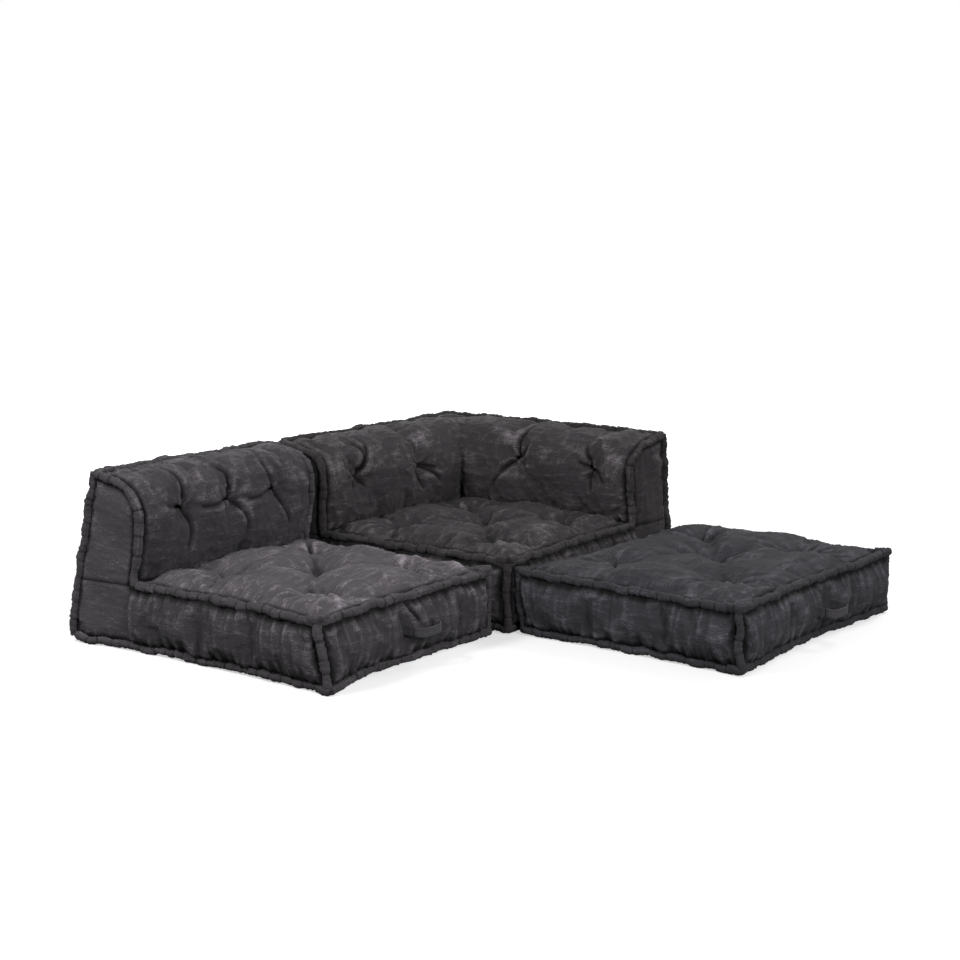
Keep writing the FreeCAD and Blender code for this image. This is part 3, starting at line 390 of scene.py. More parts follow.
class Cover:
    """The canvas of one cushion: patches of a grid that share their edges."""

    def __init__(self, cushion):
        self.cushion = cushion
        self.parts = []

    def add(self, kind, points, outward, seams="abcd", plump=1.0):
        """Add a patch. seams names its sewn edges: a first row, b last row, c first column, d last column."""
        outward = np.broadcast_to(np.asarray(outward, float), points.shape)
        edges = {"a": np.s_[0, :], "b": np.s_[-1, :], "c": np.s_[:, 0], "d": np.s_[:, -1]}
        sewn = np.zeros(points.shape[:2], bool)
        for letter in seams:
            sewn[edges[letter]] = True
        across = np.linalg.norm(np.diff(points, axis=1), axis=2).mean(axis=0)
        along = np.linalg.norm(np.diff(points, axis=0), axis=2).mean(axis=1)
        run = np.concatenate(([0], np.cumsum(across)))
        rise = np.concatenate(([0], np.cumsum(along)))
        cloth = np.stack(np.broadcast_arrays(run[None, :], rise[:, None]), axis=-1)
        swell, reach = SWELL[kind]
        self.parts.append((kind, points, outward, sewn, plump * swell, reach, cloth))

    def join(self):
        """Merge the patches at their shared edges."""
        gathered = {}
        first = 0
        for kind, grid, normals, edges, swell, reach, cloth in self.parts:
            points, outward = grid.reshape(-1, 3), normals.reshape(-1, 3)
            count = len(points)
            index = np.arange(count).reshape(grid.shape[:2])
            faces = np.stack((index[:-1, :-1], index[:-1, 1:], index[1:, 1:], index[1:, :-1]), axis=-1)
            faces = faces.reshape(-1, 4)
            start, right, _, up = (points[column] for column in faces.T)
            if (np.cross(right - start, up - start) * outward[faces[:, 0]]).sum() < 0:
                faces = faces[:, ::-1]
            found = {
                "points": points, "outward": outward, "sewn": edges.reshape(-1),
                "swell": np.full(count, swell), "reach": np.full(count, reach), "kind": np.full(count, kind),
                "rise": cloth[..., 1].reshape(-1), "cloth": cloth.reshape(-1, 2)[faces], "quads": faces + first,
            }
            for key, values in found.items():
                gathered.setdefault(key, []).append(values)
            first += count
        whole = {key: np.concatenate(values) for key, values in gathered.items()}
        keys = np.round(whole["points"] / WELD + WELD_SHIFT).astype(np.int64)
        _, chosen, merged = np.unique(keys, axis=0, return_index=True, return_inverse=True)
        merged = merged.reshape(-1)
        count = len(chosen)
        self.points, self.kind, self.rise = (whole[key][chosen] for key in ("points", "kind", "rise"))
        self.quads = merged[whole["quads"]]
        self.cloth = whole["cloth"]
        self.sewn = np.bincount(merged, whole["sewn"], count) > 0
        directions = [np.bincount(merged, column, count) for column in whole["outward"].T]
        self.outward = np.stack(directions, axis=-1)
        self.outward /= np.linalg.norm(self.outward, axis=1, keepdims=True)
        self.held = self.sewn.copy()
        tree = kdtree.KDTree(int(self.sewn.sum()))
        for number, point in enumerate(self.points[self.sewn]):
            tree.insert(point, number)
        tree.balance()
        self.seam_distance = np.array([tree.find(point)[2] for point in self.points])
        self.swell = whole["swell"][chosen] * (1 - np.exp(-self.seam_distance / whole["reach"][chosen]))

    def sink(self, where, centre, flat_axes, width, sharpness, floor, hold):
        """Draw the canvas down to a tuft: to a floor below the seams, held within a small radius."""
        distance = np.linalg.norm(self.points[:, flat_axes] - np.asarray(centre), axis=1)
        pull = np.where(where, np.exp(-(distance / width) ** sharpness), 0)
        self.swell = self.swell * (1 - pull) + floor * pull
        self.held |= where & (distance < hold)

    def sink_seat(self, low, high):
        """Draw a seat down to its tufts."""
        for tuft in quincunx(low, high):
            self.sink(self.kind == "seat", tuft, [0, 1], *SEAT_TUFT)

    def sink_back(self, where, buttons, axes):
        """Draw a back in to its buttons, front and rear."""
        for spot, height, _ in buttons:
            self.sink(where & (self.kind == "face"), (spot, height), axes, *FACE_BUTTON)
            self.sink(where & (self.kind == "rear"), (spot, BUTTON_HEIGHT), axes, *REAR_BUTTON)


def side_row(bottom_low, bottom_high, top_row):
    """Positions along a side panel's bottom edge that match those along its top edge."""
    share = (top_row - top_row[0]) / (top_row[-1] - top_row[0])
    return bottom_low + share * (bottom_high - bottom_low)


def face_normals(profile):
    """Outward directions along a back's profile."""
    depth, height = profile.T
    return np.stack((np.gradient(height), np.zeros(len(profile)), -np.gradient(depth)), axis=-1)


def make_pouf_cover():
    """Canvas of the flat cushion."""
    cover = Cover(pouf)
    hx, hy, rim = pouf.half_x - SEAM, pouf.half_y - SEAM, pouf.rim
    x, y, z = spread(-hx, hx), spread(-hy, hy), spread(SEAM, rim)
    cover.add("seat", panel(x[:, None], y[None], rim), (0, 0, 1), plump=POUF_PLUMP)
    for sign in (-1, 1):
        cover.add("box", panel(sign * hx, y[None], z[:, None]), (sign, 0, 0))
        cover.add("box", panel(x[None], sign * hy, z[:, None]), (0, sign, 0))
    cover.join()
    cover.sink_seat((-pouf.half_x, -pouf.half_y), (pouf.half_x, pouf.half_y))
    return cover


def make_middle_cover():
    """Canvas of the module with one back."""
    cover = Cover(middle)
    shape = BackShape(middle)
    hx, hy, rim = middle.half_x, middle.half_y - SEAM, middle.rim
    foot = shape.front(SEAM, rim)
    rear = shape.rear(SEAM, rim)
    top = shape.rear_top(SEAM)
    seat_x, under_x = spread(foot - hx, hx - SEAM), spread(rear - hx, foot - hx)
    y, z = spread(-hy, hy), spread(SEAM, rim)
    rise = spread(rim, top[1])
    profile = shape.profile(SEAM, rim, len(rise) - 1, len(under_x) - 1)
    rear_x = np.linspace(rear, top[0], len(rise)) - hx
    t = ((z - SEAM) / (rim - SEAM))[:, None]
    top_row = np.concatenate((under_x, seat_x[1:]))
    side_x = (1 - t) * side_row(SEAM - hx, hx - SEAM, top_row)[None] + t * top_row[None]
    low_rear = (1 - t) * (SEAM - hx) + t * (rear - hx)
    split = len(under_x)
    ends = blend_edges(np.stack((under_x, np.full(split, rim)), axis=-1), profile[::-1][:split] - (hx, 0),
                       np.stack((rear_x, rise), axis=-1), profile[:len(rise)] - (hx, 0))

    cover.add("seat", panel(seat_x[:, None], y[None], rim), (0, 0, 1))
    cover.add("box", panel(hx - SEAM, y[None], z[:, None]), (1, 0, 0))
    for sign in (-1, 1):
        cover.add("end", panel(side_x[:, :split], sign * hy, z[:, None]), (0, sign, 0), "ac")
        cover.add("box", panel(side_x[:, split - 1:], sign * hy, z[:, None]), (0, sign, 0), "abd")
        cover.add("end", panel(ends[..., 0], sign * hy, ends[..., 1]), (0, sign, 0), "bcd")
    cover.add("rear", panel(low_rear, y[None], z[:, None]), (-1, 0, 0), "acd")
    cover.add("rear", panel(rear_x[:, None], y[None], rise[:, None]), (-1, 0, shape.slope), "bcd")
    cover.add("face", panel(profile[:, 0][:, None] - hx, y[None], profile[:, 1][:, None]),
              face_normals(profile)[:, None, :])
    cover.join()
    cover.sink_seat((BACK_DEPTH - hx, -middle.half_y), (hx, middle.half_y))
    cover.sink_back(True, MIDDLE_BUTTONS, [1, 2])
    return cover


def swap_sides(points):
    """Mirror across the corner module's diagonal."""
    return np.stack((-points[..., 1], -points[..., 0], points[..., 2]), axis=-1)


def make_corner_cover():
    """Canvas of the module with two backs. Everything but the seat is made for one back and mirrored."""
    cover = Cover(corner)
    shape = BackShape(corner)
    half, rim = corner.half_x, corner.rim
    edge = half - SEAM
    foot = shape.front(SEAM, rim) - half
    rear = shape.rear(SEAM, rim) - half
    top = shape.rear_top(SEAM) - (half, 0)
    seat_x, under_x = spread(foot, edge), spread(rear, foot)
    z, rise = spread(SEAM, rim), spread(rim, top[1])
    profile = shape.profile(SEAM, rim, len(rise) - 1, len(under_x) - 1) - (half, 0)
    run = np.linspace(0, 1, len(seat_x))
    rear_x = np.linspace(rear, top[0], len(rise))
    t = ((z - SEAM) / (rim - SEAM))[:, None]
    top_row = np.concatenate((under_x, seat_x[1:]))
    side_x = (1 - t) * side_row(-edge, edge, top_row)[None] + t * top_row[None]
    split = len(under_x)
    ends = blend_edges(np.stack((under_x, np.full(split, rim)), axis=-1), profile[::-1][:split],
                       np.stack((rear_x, rise), axis=-1), profile[:len(rise)])

    def mitred(depth, height):
        return panel(depth, -edge + run[None] * (edge - depth), height[:, None])

    one_back = (
        ("end", panel(side_x[:, :split], -edge, z[:, None]), (0, -1, 0), "ac"),
        ("box", panel(side_x[:, split - 1:], -edge, z[:, None]), (0, -1, 0), "abd"),
        ("end", panel(ends[..., 0], -edge, ends[..., 1]), (0, -1, 0), "bcd"),
        ("rear", mitred((1 - t) * -edge + t * rear, z), (-1, 0, 0), "acd"),
        ("rear", mitred(rear_x[:, None], rise), (-1, 0, shape.slope), "bcd"),
        ("face", mitred(profile[:, 0][:, None], profile[:, 1]), face_normals(profile)[:, None, :], "abc"),
    )
    cover.add("seat", panel(seat_x[:, None], -seat_x[::-1][None], rim), (0, 0, 1))
    for kind, points, outward, seams in one_back:
        outward = np.broadcast_to(np.asarray(outward, float), points.shape)
        cover.add(kind, points, outward, seams)
        cover.add(kind, swap_sides(points), swap_sides(outward), seams)
    cover.join()
    cover.sink_seat((BACK_DEPTH - half, -half), (half, half - BACK_DEPTH))
    left_side = cover.points[:, 0] + cover.points[:, 1] < 0
    cover.sink_back(left_side, LEFT_BUTTONS, [1, 2])
    cover.sink_back(~left_side, RIGHT_BUTTONS, [0, 2])
    return cover


def new_object(name, data):
    """An object in the scene."""
    made = bpy.data.objects.new(name, data)
    bpy.context.scene.collection.objects.link(made)
    return made


def read_vectors(items, name):
    """Vectors of a mesh as an array."""
    values = np.empty(len(items) * 3, np.float32)
    items.foreach_get(name, values)
    return values.reshape(-1, 3).astype(float)


def write_points(mesh, points):
    """Move the points of a mesh."""
    mesh.vertices.foreach_set("co", points.astype(np.float32).reshape(-1))


def store(mesh, name, values):
    """Keep a number for each point of a mesh."""
    mesh.attributes.new(name, "FLOAT", "POINT").data.foreach_set("value", values.astype(np.float32))


def smooth(mesh):
    """Shade a mesh smooth."""
    mesh.polygons.foreach_set("use_smooth", np.ones(len(mesh.polygons), bool))


def map_cloth(mesh, places):
    """Give a mesh its cloth map."""
    places = np.asarray(places).astype(np.float32)
    mesh.uv_layers.new(name="cloth").data.foreach_set("uv", places.reshape(-1))


def blow_up(covers):
    """Let the canvas settle: pressed out from inside, and held at its seams and tufts."""
    scene = bpy.context.scene
    sheets = []
    for cover in covers:
        mesh = bpy.data.meshes.new("canvas_at_rest")
        mesh.from_pydata(cover.start.tolist(), [], cover.quads.tolist())
        sheet = new_object("canvas_at_rest", mesh)
        for group, chosen in (("held", cover.held), ("spare", cover.kind == "box")):
            sheet.vertex_groups.new(name=group).add(np.flatnonzero(chosen).tolist(), 1.0, "REPLACE")
        cloth = sheet.modifiers.new("settle", "CLOTH")
        cloth.point_cache.frame_start = 1
        cloth.point_cache.frame_end = SIM_FRAMES
        for setting, value in CLOTH.items():
            setattr(cloth.settings, setting, value)
        cloth.settings.effector_weights.gravity = 0
        sheets.append(sheet)
    for number in range(1, SIM_FRAMES + 1):
        scene.frame_set(number)
    graph = bpy.context.evaluated_depsgraph_get()
    for cover, sheet in zip(covers, sheets):
        moved = read_vectors(sheet.evaluated_get(graph).data.vertices, "co") - cover.start
        length = np.linalg.norm(moved, axis=1, keepdims=True)
        limit = np.array([SETTLE_CAPS[kind] for kind in cover.kind])[:, None]
        capped = limit * np.tanh(length / limit)
        cover.shape = cover.start + moved * (capped / np.maximum(length, 1e-9))
    for sheet in sheets:
        mesh = sheet.data
        bpy.data.objects.remove(sheet)
        bpy.data.meshes.remove(mesh)
    scene.frame_set(1)


def curved(line, rounds=3):
    """A line of points with its corners cut round."""
    line = np.asarray(line, float)
    for _ in range(rounds):
        early, late = 0.75 * line[:-1] + 0.25 * line[1:], 0.25 * line[:-1] + 0.75 * line[1:]
        cut = np.stack((early, late), axis=1).reshape(-1, line.shape[1])
        line = np.concatenate((line[:1], cut, line[-1:]))
    return line


def line_distance(flat, line):
    """How far flat points lie from a line, and at which share of its length the nearest place is."""
    covered = travelled(line)
    best, share = np.full(len(flat), np.inf), np.zeros(len(flat))
    for number, start in enumerate(line[:-1]):
        run = line[number + 1] - start
        part = np.clip((flat - start) @ run / (run @ run), 0, 1)
        distance = np.linalg.norm(flat - start - part[:, None] * run, axis=1)
        nearer = distance < best
        best[nearer] = distance[nearer]
        share[nearer] = (covered[number] + part * np.linalg.norm(run))[nearer] / covered[-1]
    return best, share


class FineCanvas:
    """A cover after subdivision, with the heights that creases add to it."""

    def __init__(self, cover):
        self.cushion = cover.cushion
        grid = bpy.data.meshes.new("canvas_grid")
        grid.from_pydata(cover.shape.tolist(), [], cover.quads.tolist())
        map_cloth(grid, cover.cloth)
        smooth(grid)
        kept = {"rise": cover.rise, "seam_distance": cover.seam_distance}
        kept.update({kind: (cover.kind == kind).astype(float) for kind in SETTLE_CAPS})
        for name, values in kept.items():
            store(grid, name, values)
        self.piece = new_object(f"{self.cushion.name}_canvas_cover", grid)
        finer = self.piece.modifiers.new("finer", "SUBSURF")
        finer.levels = finer.render_levels = 1
        finer.use_limit_surface = False
        graph = bpy.context.evaluated_depsgraph_get()
        self.mesh = bpy.data.meshes.new_from_object(self.piece.evaluated_get(graph))
        self.piece.modifiers.clear()
        self.piece.data = self.mesh
        bpy.data.meshes.remove(grid)
        self.mesh.name = self.piece.name
        self.points = read_vectors(self.mesh.vertices, "co")
        self.normals = read_vectors(self.mesh.vertex_normals, "vector")
        self.heights = np.zeros(len(self.points))
        self.dark = np.zeros(len(self.points))
        self.kept = {}
        for name in kept:
            values = np.empty(len(self.points), np.float32)
            self.mesh.attributes[name].data.foreach_get("value", values)
            self.kept[name] = values.astype(float)
            self.mesh.attributes.remove(self.mesh.attributes[name])

    def on(self, kind):
        """Points of one kind of panel."""
        return self.kept[kind] > 0.5

    def press(self, where, flat, line, depth, width, fade=0.7):
        """Press a crease in: deepest where its line starts, with a soft lip on both sides."""
        chosen = np.flatnonzero(where)
        distance, share = line_distance(flat[chosen], curved(line))
        valley = np.exp(-(distance / width) ** 1.3)
        lip = np.exp(-((distance - 2.3 * width) / (1.2 * width)) ** 2)
        self.heights[chosen] -= depth * (1 - share) ** fade * (valley - 0.32 * lip)

    def paint_shade_line(self, where, flat, line, width):
        """Paint shade into a pit or along a crease or a sewn line."""
        chosen = np.flatnonzero(where)
        distance, _ = line_distance(flat[chosen], np.asarray(line, float))
        self.dark[chosen] = np.maximum(self.dark[chosen], np.exp(-(distance / width) ** 2))

    def pucker(self, where, flat, centre, rays, height, reach, seed):
        """Fine wrinkles that run out from a tuft."""
        away = flat - np.asarray(centre)
        distance = np.linalg.norm(away, axis=1)
        angle = np.arctan2(away[:, 1], away[:, 0])
        chance = np.random.default_rng(seed)
        ripple = np.zeros(len(flat))
        for turns in (rays - 2, rays, rays + 3):
            ripple += np.sin(turns * angle + chance.uniform(0, 6.3) + distance * chance.uniform(-14, 14))
        strength = np.clip(distance / 0.03, 0, 1) * np.exp(-(distance / reach) ** 2)
        self.heights += np.where(where, height * strength * ripple / 2, 0)

    def gather(self, where, run, height, size, seed):
        """Soft pleats that start at the seams of a panel."""
        distance = self.kept["seam_distance"]
        near = np.clip(distance / 0.015, 0, 1) * np.exp(-distance / 0.060)
        slanted = np.stack((run, 0.22 * self.points[:, 2]), axis=-1)
        pleats = 0.7 * ridges(slanted, size, seed) + 0.5 * ridges(slanted, size / 2, seed + 1)
        self.heights += np.where(where, height * near * pleats, 0)

    def crumple(self, where, heights):
        """Crumples that flatten towards the seams."""
        self.heights += np.where(where, heights * np.clip(self.kept["seam_distance"] / 0.03, 0, 1), 0)

    def crests(self):
        """How far each point stands above its surroundings, small folds and large lumps together."""
        edges = np.empty(len(self.mesh.edges) * 2, np.int32)
        self.mesh.edges.foreach_get("vertices", edges)
        first, second = edges.reshape(-1, 2).T
        count = len(self.points)
        ring_size = np.bincount(first, minlength=count) + np.bincount(second, minlength=count)
        level, total = self.points.copy(), np.zeros(count)
        for number in range(1, max(CREST_ROUNDS) + 1):
            for axis in range(3):
                column = level[:, axis]
                around = np.bincount(first, column[second], count) + np.bincount(second, column[first], count)
                level[:, axis] = around / ring_size
            if number in CREST_ROUNDS:
                total += ((self.points - level) * self.normals).sum(axis=1) * CREST_ROUNDS[number]
        return total

    def finish(self, material, replaced):
        """Close the underside and hand the piece over."""
        self.points = self.points + self.normals * self.heights[:, None]
        # Painted shade: dark near the seams, where the canvas dives under the rolls, and in the pits and creases
        # marked dark.
        seam = np.maximum(np.exp(-(self.kept["seam_distance"] / SEAM_SHADOW) ** 6), self.dark)
        # Each kind of panel made lighter or darker by a set amount.
        fade = sum(amount * self.kept[kind] for kind, amount in PANEL_TONE_SHIFTS[self.cushion.name].items())
        for name, values in (("crest", self.crests()), ("seam", seam), ("fade", fade)):
            store(self.mesh, name, values)
        write_points(self.mesh, self.cushion.slumped(self.points))
        self.mesh.update()
        close_underside(self.mesh, self.cushion)
        self.mesh.materials.clear()
        self.mesh.materials.append(material)
        name = self.cushion.name
        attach(self.piece, name)
        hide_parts(*[f"{name}_{node}" for node in replaced])


def close_underside(canvas, cushion):
    """Turn the lowest seam in under the cushion and close it with one flat face."""
    form = bmesh.new()
    form.from_mesh(canvas)
    rim = [edge for edge in form.edges if edge.is_boundary]
    for inset, height in UNDERSIDE_TURNS:
        made = bmesh.ops.extrude_edge_only(form, edges=rim)["geom"]
        rim = [item for item in made if isinstance(item, bmesh.types.BMEdge) and item.is_boundary]
        for vertex in {end for edge in rim for end in edge.verts}:
            vertex.co.x -= math.copysign(min(inset, abs(vertex.co.x)), vertex.co.x)
            vertex.co.y -= math.copysign(min(inset, abs(vertex.co.y)), vertex.co.y)
            vertex.co.z = height
    bmesh.ops.holes_fill(form, edges=rim, sides=0)
    bmesh.ops.recalc_face_normals(form, faces=form.faces)
    form.transform(cushion.place)
    form.to_mesh(canvas)
    form.free()


def wrinkle_seat(canvas, low, high, seed):
    """Broad valleys between the tufts of a seat, pull lines and fine wrinkles around each, and crumples."""
    where, flat = canvas.on("seat"), canvas.points[:, :2]
    strength = CRUMPLE[canvas.cushion.name]
    tufts = quincunx(low, high)
    chance = np.random.default_rng(seed)
    for number, tuft in enumerate(tufts):
        canvas.pucker(where, flat, tuft, rays=9, height=0.0042 * strength, reach=0.115, seed=seed + number)
    for tuft in tufts[1:]:
        half_way = (tuft + tufts[0]) / 2 + chance.uniform(-0.03, 0.03, 2)
        canvas.press(where, flat, [tuft, half_way, tufts[0]], depth=0.010, width=0.026, fade=0.15)
    for first, second in ((1, 2), (2, 4), (4, 3), (3, 1)):
        half_way = (tufts[first] + tufts[second]) / 2 + chance.uniform(-0.025, 0.025, 2)
        line = [tufts[first], half_way, tufts[second]]
        canvas.press(where, flat, line, depth=0.006, width=0.024, fade=0.15)
    for tuft in tufts[1:]:
        outward = tuft - tufts[0]
        for turn in chance.uniform(-1.25, 1.25, 9):
            heading = math.atan2(outward[1], outward[0]) + turn
            run = chance.uniform(0.10, 0.19) * np.array((math.cos(heading), math.sin(heading)))
            bend = tuft + 0.65 * run + chance.uniform(-0.012, 0.012, 2)
            line = [tuft + 0.25 * run, bend, tuft + run]
            canvas.press(where, flat, line, depth=0.0042, width=0.0058, fade=0.35)
    centre, half = np.add(low, high) / 2, np.subtract(high, low) / 2
    to_front, to_side = np.abs(np.abs(flat - centre) - half).T
    run = np.where(to_front < to_side, flat[:, 1], flat[:, 0])
    canvas.gather(where, run, height=0.0040 * strength, size=0.065, seed=seed + 30)
    crisp = 0.0028 * ridges(flat, 0.085, seed + 20) + 0.0016 * ridges(flat, 0.040, seed + 21)
    canvas.crumple(where, strength * crisp)


def wrinkle_back(canvas, where, along, buttons, seed):
    """Creases and short rays that run out from each button of a back, and crumples, with painted shade in each
    pit and down each crease.
    """
    flat = np.stack((along, canvas.kept["rise"]), axis=-1)
    chance = np.random.default_rng(seed)
    for spot, height, creases in buttons:
        pit = np.array((spot, (height - canvas.cushion.rim) / math.cos(FRONT_TILT)))
        canvas.pucker(where, flat, pit, rays=7, height=0.0016, reach=0.075, seed=seed + int(1000 * abs(spot)))
        # Painted shade in the button's pit.
        canvas.paint_shade_line(where, flat, [pit - (0.005, 0), pit + (0.005, 0)], width=0.014)
        for steps in creases:
            line = curved([pit, *(pit + np.array(step) for step in steps)])
            canvas.press(where, flat, line, depth=0.011, width=0.0060)
            # Painted shade down the first two thirds of the crease.
            canvas.paint_shade_line(where, flat, line[:len(line) * 2 // 3], width=0.0035)
        for angle in chance.uniform(0, 2 * math.pi, 6):
            ray = chance.uniform(0.030, 0.055) * np.array((math.cos(angle), math.sin(angle)))
            bend = pit + 0.5 * ray + chance.uniform(-0.004, 0.004, 2)
            canvas.press(where, flat, [pit, bend, pit + ray], depth=0.006, width=0.0045)
    canvas.crumple(where, 0.0016 * ridges(flat, 0.10, seed + 3) + 0.0011 * ridges(flat, 0.045, seed + 4))
    canvas.gather(where, along, height=0.0030, size=0.060, seed=seed + 5)


def wrinkle_sides(canvas):
    """Pleats of the side panels, the pleat in a front, and the flat seams below the ends of a back, with painted
    shade down the middle's front pleat and along the flat seams.
    """
    name, seat, half_x = canvas.cushion.name, canvas.cushion.seat, canvas.cushion.half_x
    x, y, z = canvas.points.T
    normal_x, normal_y = canvas.normals[:, 0], canvas.normals[:, 1]
    box, end = canvas.on("box"), canvas.on("end")
    run = np.where(np.abs(normal_x) > np.abs(normal_y), y, x)
    canvas.gather(box, run, height=0.0075, size=0.075, seed=100 + len(name))
    canvas.gather(end | canvas.on("rear"), run, height=0.0035, size=0.09, seed=110 + len(name))
    if name in FRONT_PLEAT:
        front = box & (normal_x > 0.5)
        flat = np.stack((y, z), axis=-1)
        pleat = [(-0.016, seat - 0.02), (0.004, 0.74 * seat), (0.018, 0.60 * seat), (0.020, 0.46 * seat)]
        canvas.press(front, flat, pleat, depth=FRONT_PLEAT[name], width=0.008)
        if name == "middle":
            # Painted shade down the front pleat.
            canvas.paint_shade_line(front, flat, curved(pleat)[:20], width=0.006)
    if name != "pouf":
        flat = np.stack((np.where(np.abs(normal_y) > 0.5, x, -y), z), axis=-1)
        flat_seam = [(-half_x + SEAM, seat - SEAM), (BACK_DEPTH - half_x - 2 * ROLL, seat - SEAM)]
        canvas.press(end | box, flat, flat_seam, depth=0.0025, width=0.0045, fade=0.05)
        # Painted shade along the flat seam.
        canvas.paint_shade_line(end | box, flat, flat_seam, width=0.003)


def make_canvases(covers, materials):
    """Wrinkle every cover and finish it."""
    for cover in covers:
        canvas = FineCanvas(cover)
        x, y, z = canvas.points.T
        name, seat = cover.cushion.name, cover.cushion.seat
        half_x, half_y = cover.cushion.half_x, cover.cushion.half_y
        face = canvas.on("face")
        if name == "pouf":
            wrinkle_seat(canvas, (-half_x, -half_y), (half_x, half_y), seed=40)
        elif name == "middle":
            wrinkle_seat(canvas, (BACK_DEPTH - half_x, -half_y), (half_x, half_y), seed=60)
            wrinkle_back(canvas, face, y, MIDDLE_BUTTONS, seed=70)
        else:
            wrinkle_seat(canvas, (BACK_DEPTH - half_x, -half_y), (half_x, half_y - BACK_DEPTH), seed=80)
            wrinkle_back(canvas, face & (x + y < 0), y, LEFT_BUTTONS, seed=90)
            wrinkle_back(canvas, face & (x + y >= 0), x, RIGHT_BUTTONS, seed=95)
            mitre = np.stack(((x + y) / math.sqrt(2), z), axis=-1)
            valley = [(0, seat), (0, seat + 0.12), (0, seat + 0.25)]
            canvas.press(face, mitre, valley, depth=0.006, width=0.006)
        wrinkle_sides(canvas)
        canvas.finish(materials[name], PANELS[name])


def ring(cushion, height):
    """Corner points of a roll round a cushion."""
    x, y = cushion.half_x - ROLL, cushion.half_y - ROLL
    return [(x, -y, height), (-x, -y, height), (-x, y, height), (x, y, height)]


def ears(cushion):
    """Short turned-out folds where three rolls meet at the front corners of a cushion."""
    x, y, top = cushion.half_x - ROLL, cushion.half_y - ROLL, cushion.seat - ROLL
    sides = {"middle": ((1, -1), (1, 1)), "corner": ((1, -1),), "pouf": ((1, -1), (1, 1), (-1, -1))}
    folds = []
    for along, across in sides[cushion.name]:
        for height, rise in ((top, EAR_LIFT[cushion.name]), (ROLL, 0.0)):
            folds.append([(along * (x - EAR_RUN), across * (y - EAR_INSET), height + rise / 3),
                          (along * (x + EAR_OUT), across * (y + EAR_OUT), height + rise),
                          (along * (x - EAR_INSET), across * (y - EAR_RUN), height + rise / 2)])
    return folds


def roll_lines(cushion):
    """The lines that a cushion's rolled edges follow, and whether each is closed."""
    x, y, top = cushion.half_x - ROLL, cushion.half_y - ROLL, cushion.seat - ROLL
    lines = [(ring(cushion, ROLL), True)]
    if cushion.name == "pouf":
        lines.append((ring(cushion, top), True))
        lines += [([(a, b, ROLL), (a, b, top)], False) for a in (-x, x) for b in (-y, y)]
        return lines
    shape = BackShape(cushion)
    profile = shape.profile(ROLL, top, 30, 16) - (cushion.half_x, 0)
    over = [(depth, -y, height) for depth, height in profile]
    peak = shape.rear_top(ROLL) - (cushion.half_x, 0)
    leaning = [(-x, ROLL), (-x, shape.foot), tuple(peak)]
    if cushion.name == "middle":
        other = [(depth, -side, height) for depth, side, height in over[::-1]]
        lines.append(([(x, -y, top), *over, *other, (x, y, top)], True))
        for side in (-y, y):
            lines.append(([(x, side, ROLL), (x, side, top)], False))
            lines.append(([(depth, side, height) for depth, height in leaning], False))
        return lines
    other = [(-side, -depth, height) for depth, side, height in over[::-1]]
    lines.append(([(x, -y, top), *over, (peak[0], -peak[0], peak[1]), *other], True))
    lines.append(([(x, -y, ROLL), (x, -y, top)], False))
    lines.append(([(depth, -y, height) for depth, height in leaning], False))
    lines.append(([(y, -depth, height) for depth, height in leaning], False))
    lines.append(([(depth, -depth, height) for depth, height in leaning], False))
    return lines


def plug(tree, socket, value):
    """Wire a socket to another one or give it a value."""
    if isinstance(value, bpy.types.NodeSocket):
        tree.links.new(value, socket)
    else:
        socket.default_value = value


def add(tree, kind, inputs=(), **settings):
    """A node with its settings, and its inputs by name or number."""
    node = tree.nodes.new(kind)
    for name, value in settings.items():
        setattr(node, name, value)
    for name, value in dict(inputs).items():
        plug(tree, node.inputs[name], value)
    return node


def math_node(tree, operation, first, second=0.0):
    """Output of a math node for geometry or shader trees."""
    return add(tree, "ShaderNodeMath", {0: first, 1: second}, operation=operation).outputs[0]


def plus(tree, first, second):
    """Sum of two sockets or values."""
    return math_node(tree, "ADD", first, second)


def minus(tree, first, second):
    """Difference of two sockets or values."""
    return math_node(tree, "SUBTRACT", first, second)


def times(tree, first, second):
    """Product of two sockets or values."""
    return math_node(tree, "MULTIPLY", first, second)


def scaled(tree, vector, factor):
    """A vector or colour times a number."""
    return add(tree, "ShaderNodeVectorMath", {0: vector, "Scale": factor}, operation="SCALE").outputs[0]


def noise(tree, scale, detail, roughness=0.5, place=None):
    """Noise at a place, or else at the position."""
    node = add(tree, "ShaderNodeTexNoise", {"Scale": scale, "Detail": detail, "Roughness": roughness})
    if place is not None:
        plug(tree, node.inputs["Vector"], place)
    return node.outputs[0]


def new_tree(name, kind, inputs, outputs):
    """A node group with its named sockets, and its two end nodes."""
    tree = bpy.data.node_groups.new(name, kind)
    for way, sockets in (("INPUT", inputs), ("OUTPUT", outputs)):
        for label, socket_kind in sockets.items():
            tree.interface.new_socket(label, in_out=way, socket_type=f"NodeSocket{socket_kind}")
    return tree, tree.nodes.new("NodeGroupInput").outputs, tree.nodes.new("NodeGroupOutput").inputs


def new_line_tree(name):
    """A geometry tree that grows something along a line."""
    sockets = {"Line": "Geometry", "Radius": "Float", "Spacing": "Float", "Cloth": "Material"}
    return new_tree(name, "GeometryNodeTree", sockets, {"Geometry": "Geometry"})


def divide(tree, line, length):
    """A line divided into even lengths."""
    return add(tree, "GeometryNodeResampleCurve", {"Curve": line, "Length": length}, mode="LENGTH").outputs[0]


def mark(tree, geometry, label, value, data_type="FLOAT", domain="POINT"):
    """Geometry with a value stored on it."""
    return add(tree, "GeometryNodeStoreNamedAttribute", {"Geometry": geometry, "Name": label, "Value": value},
               data_type=data_type, domain=domain).outputs[0]


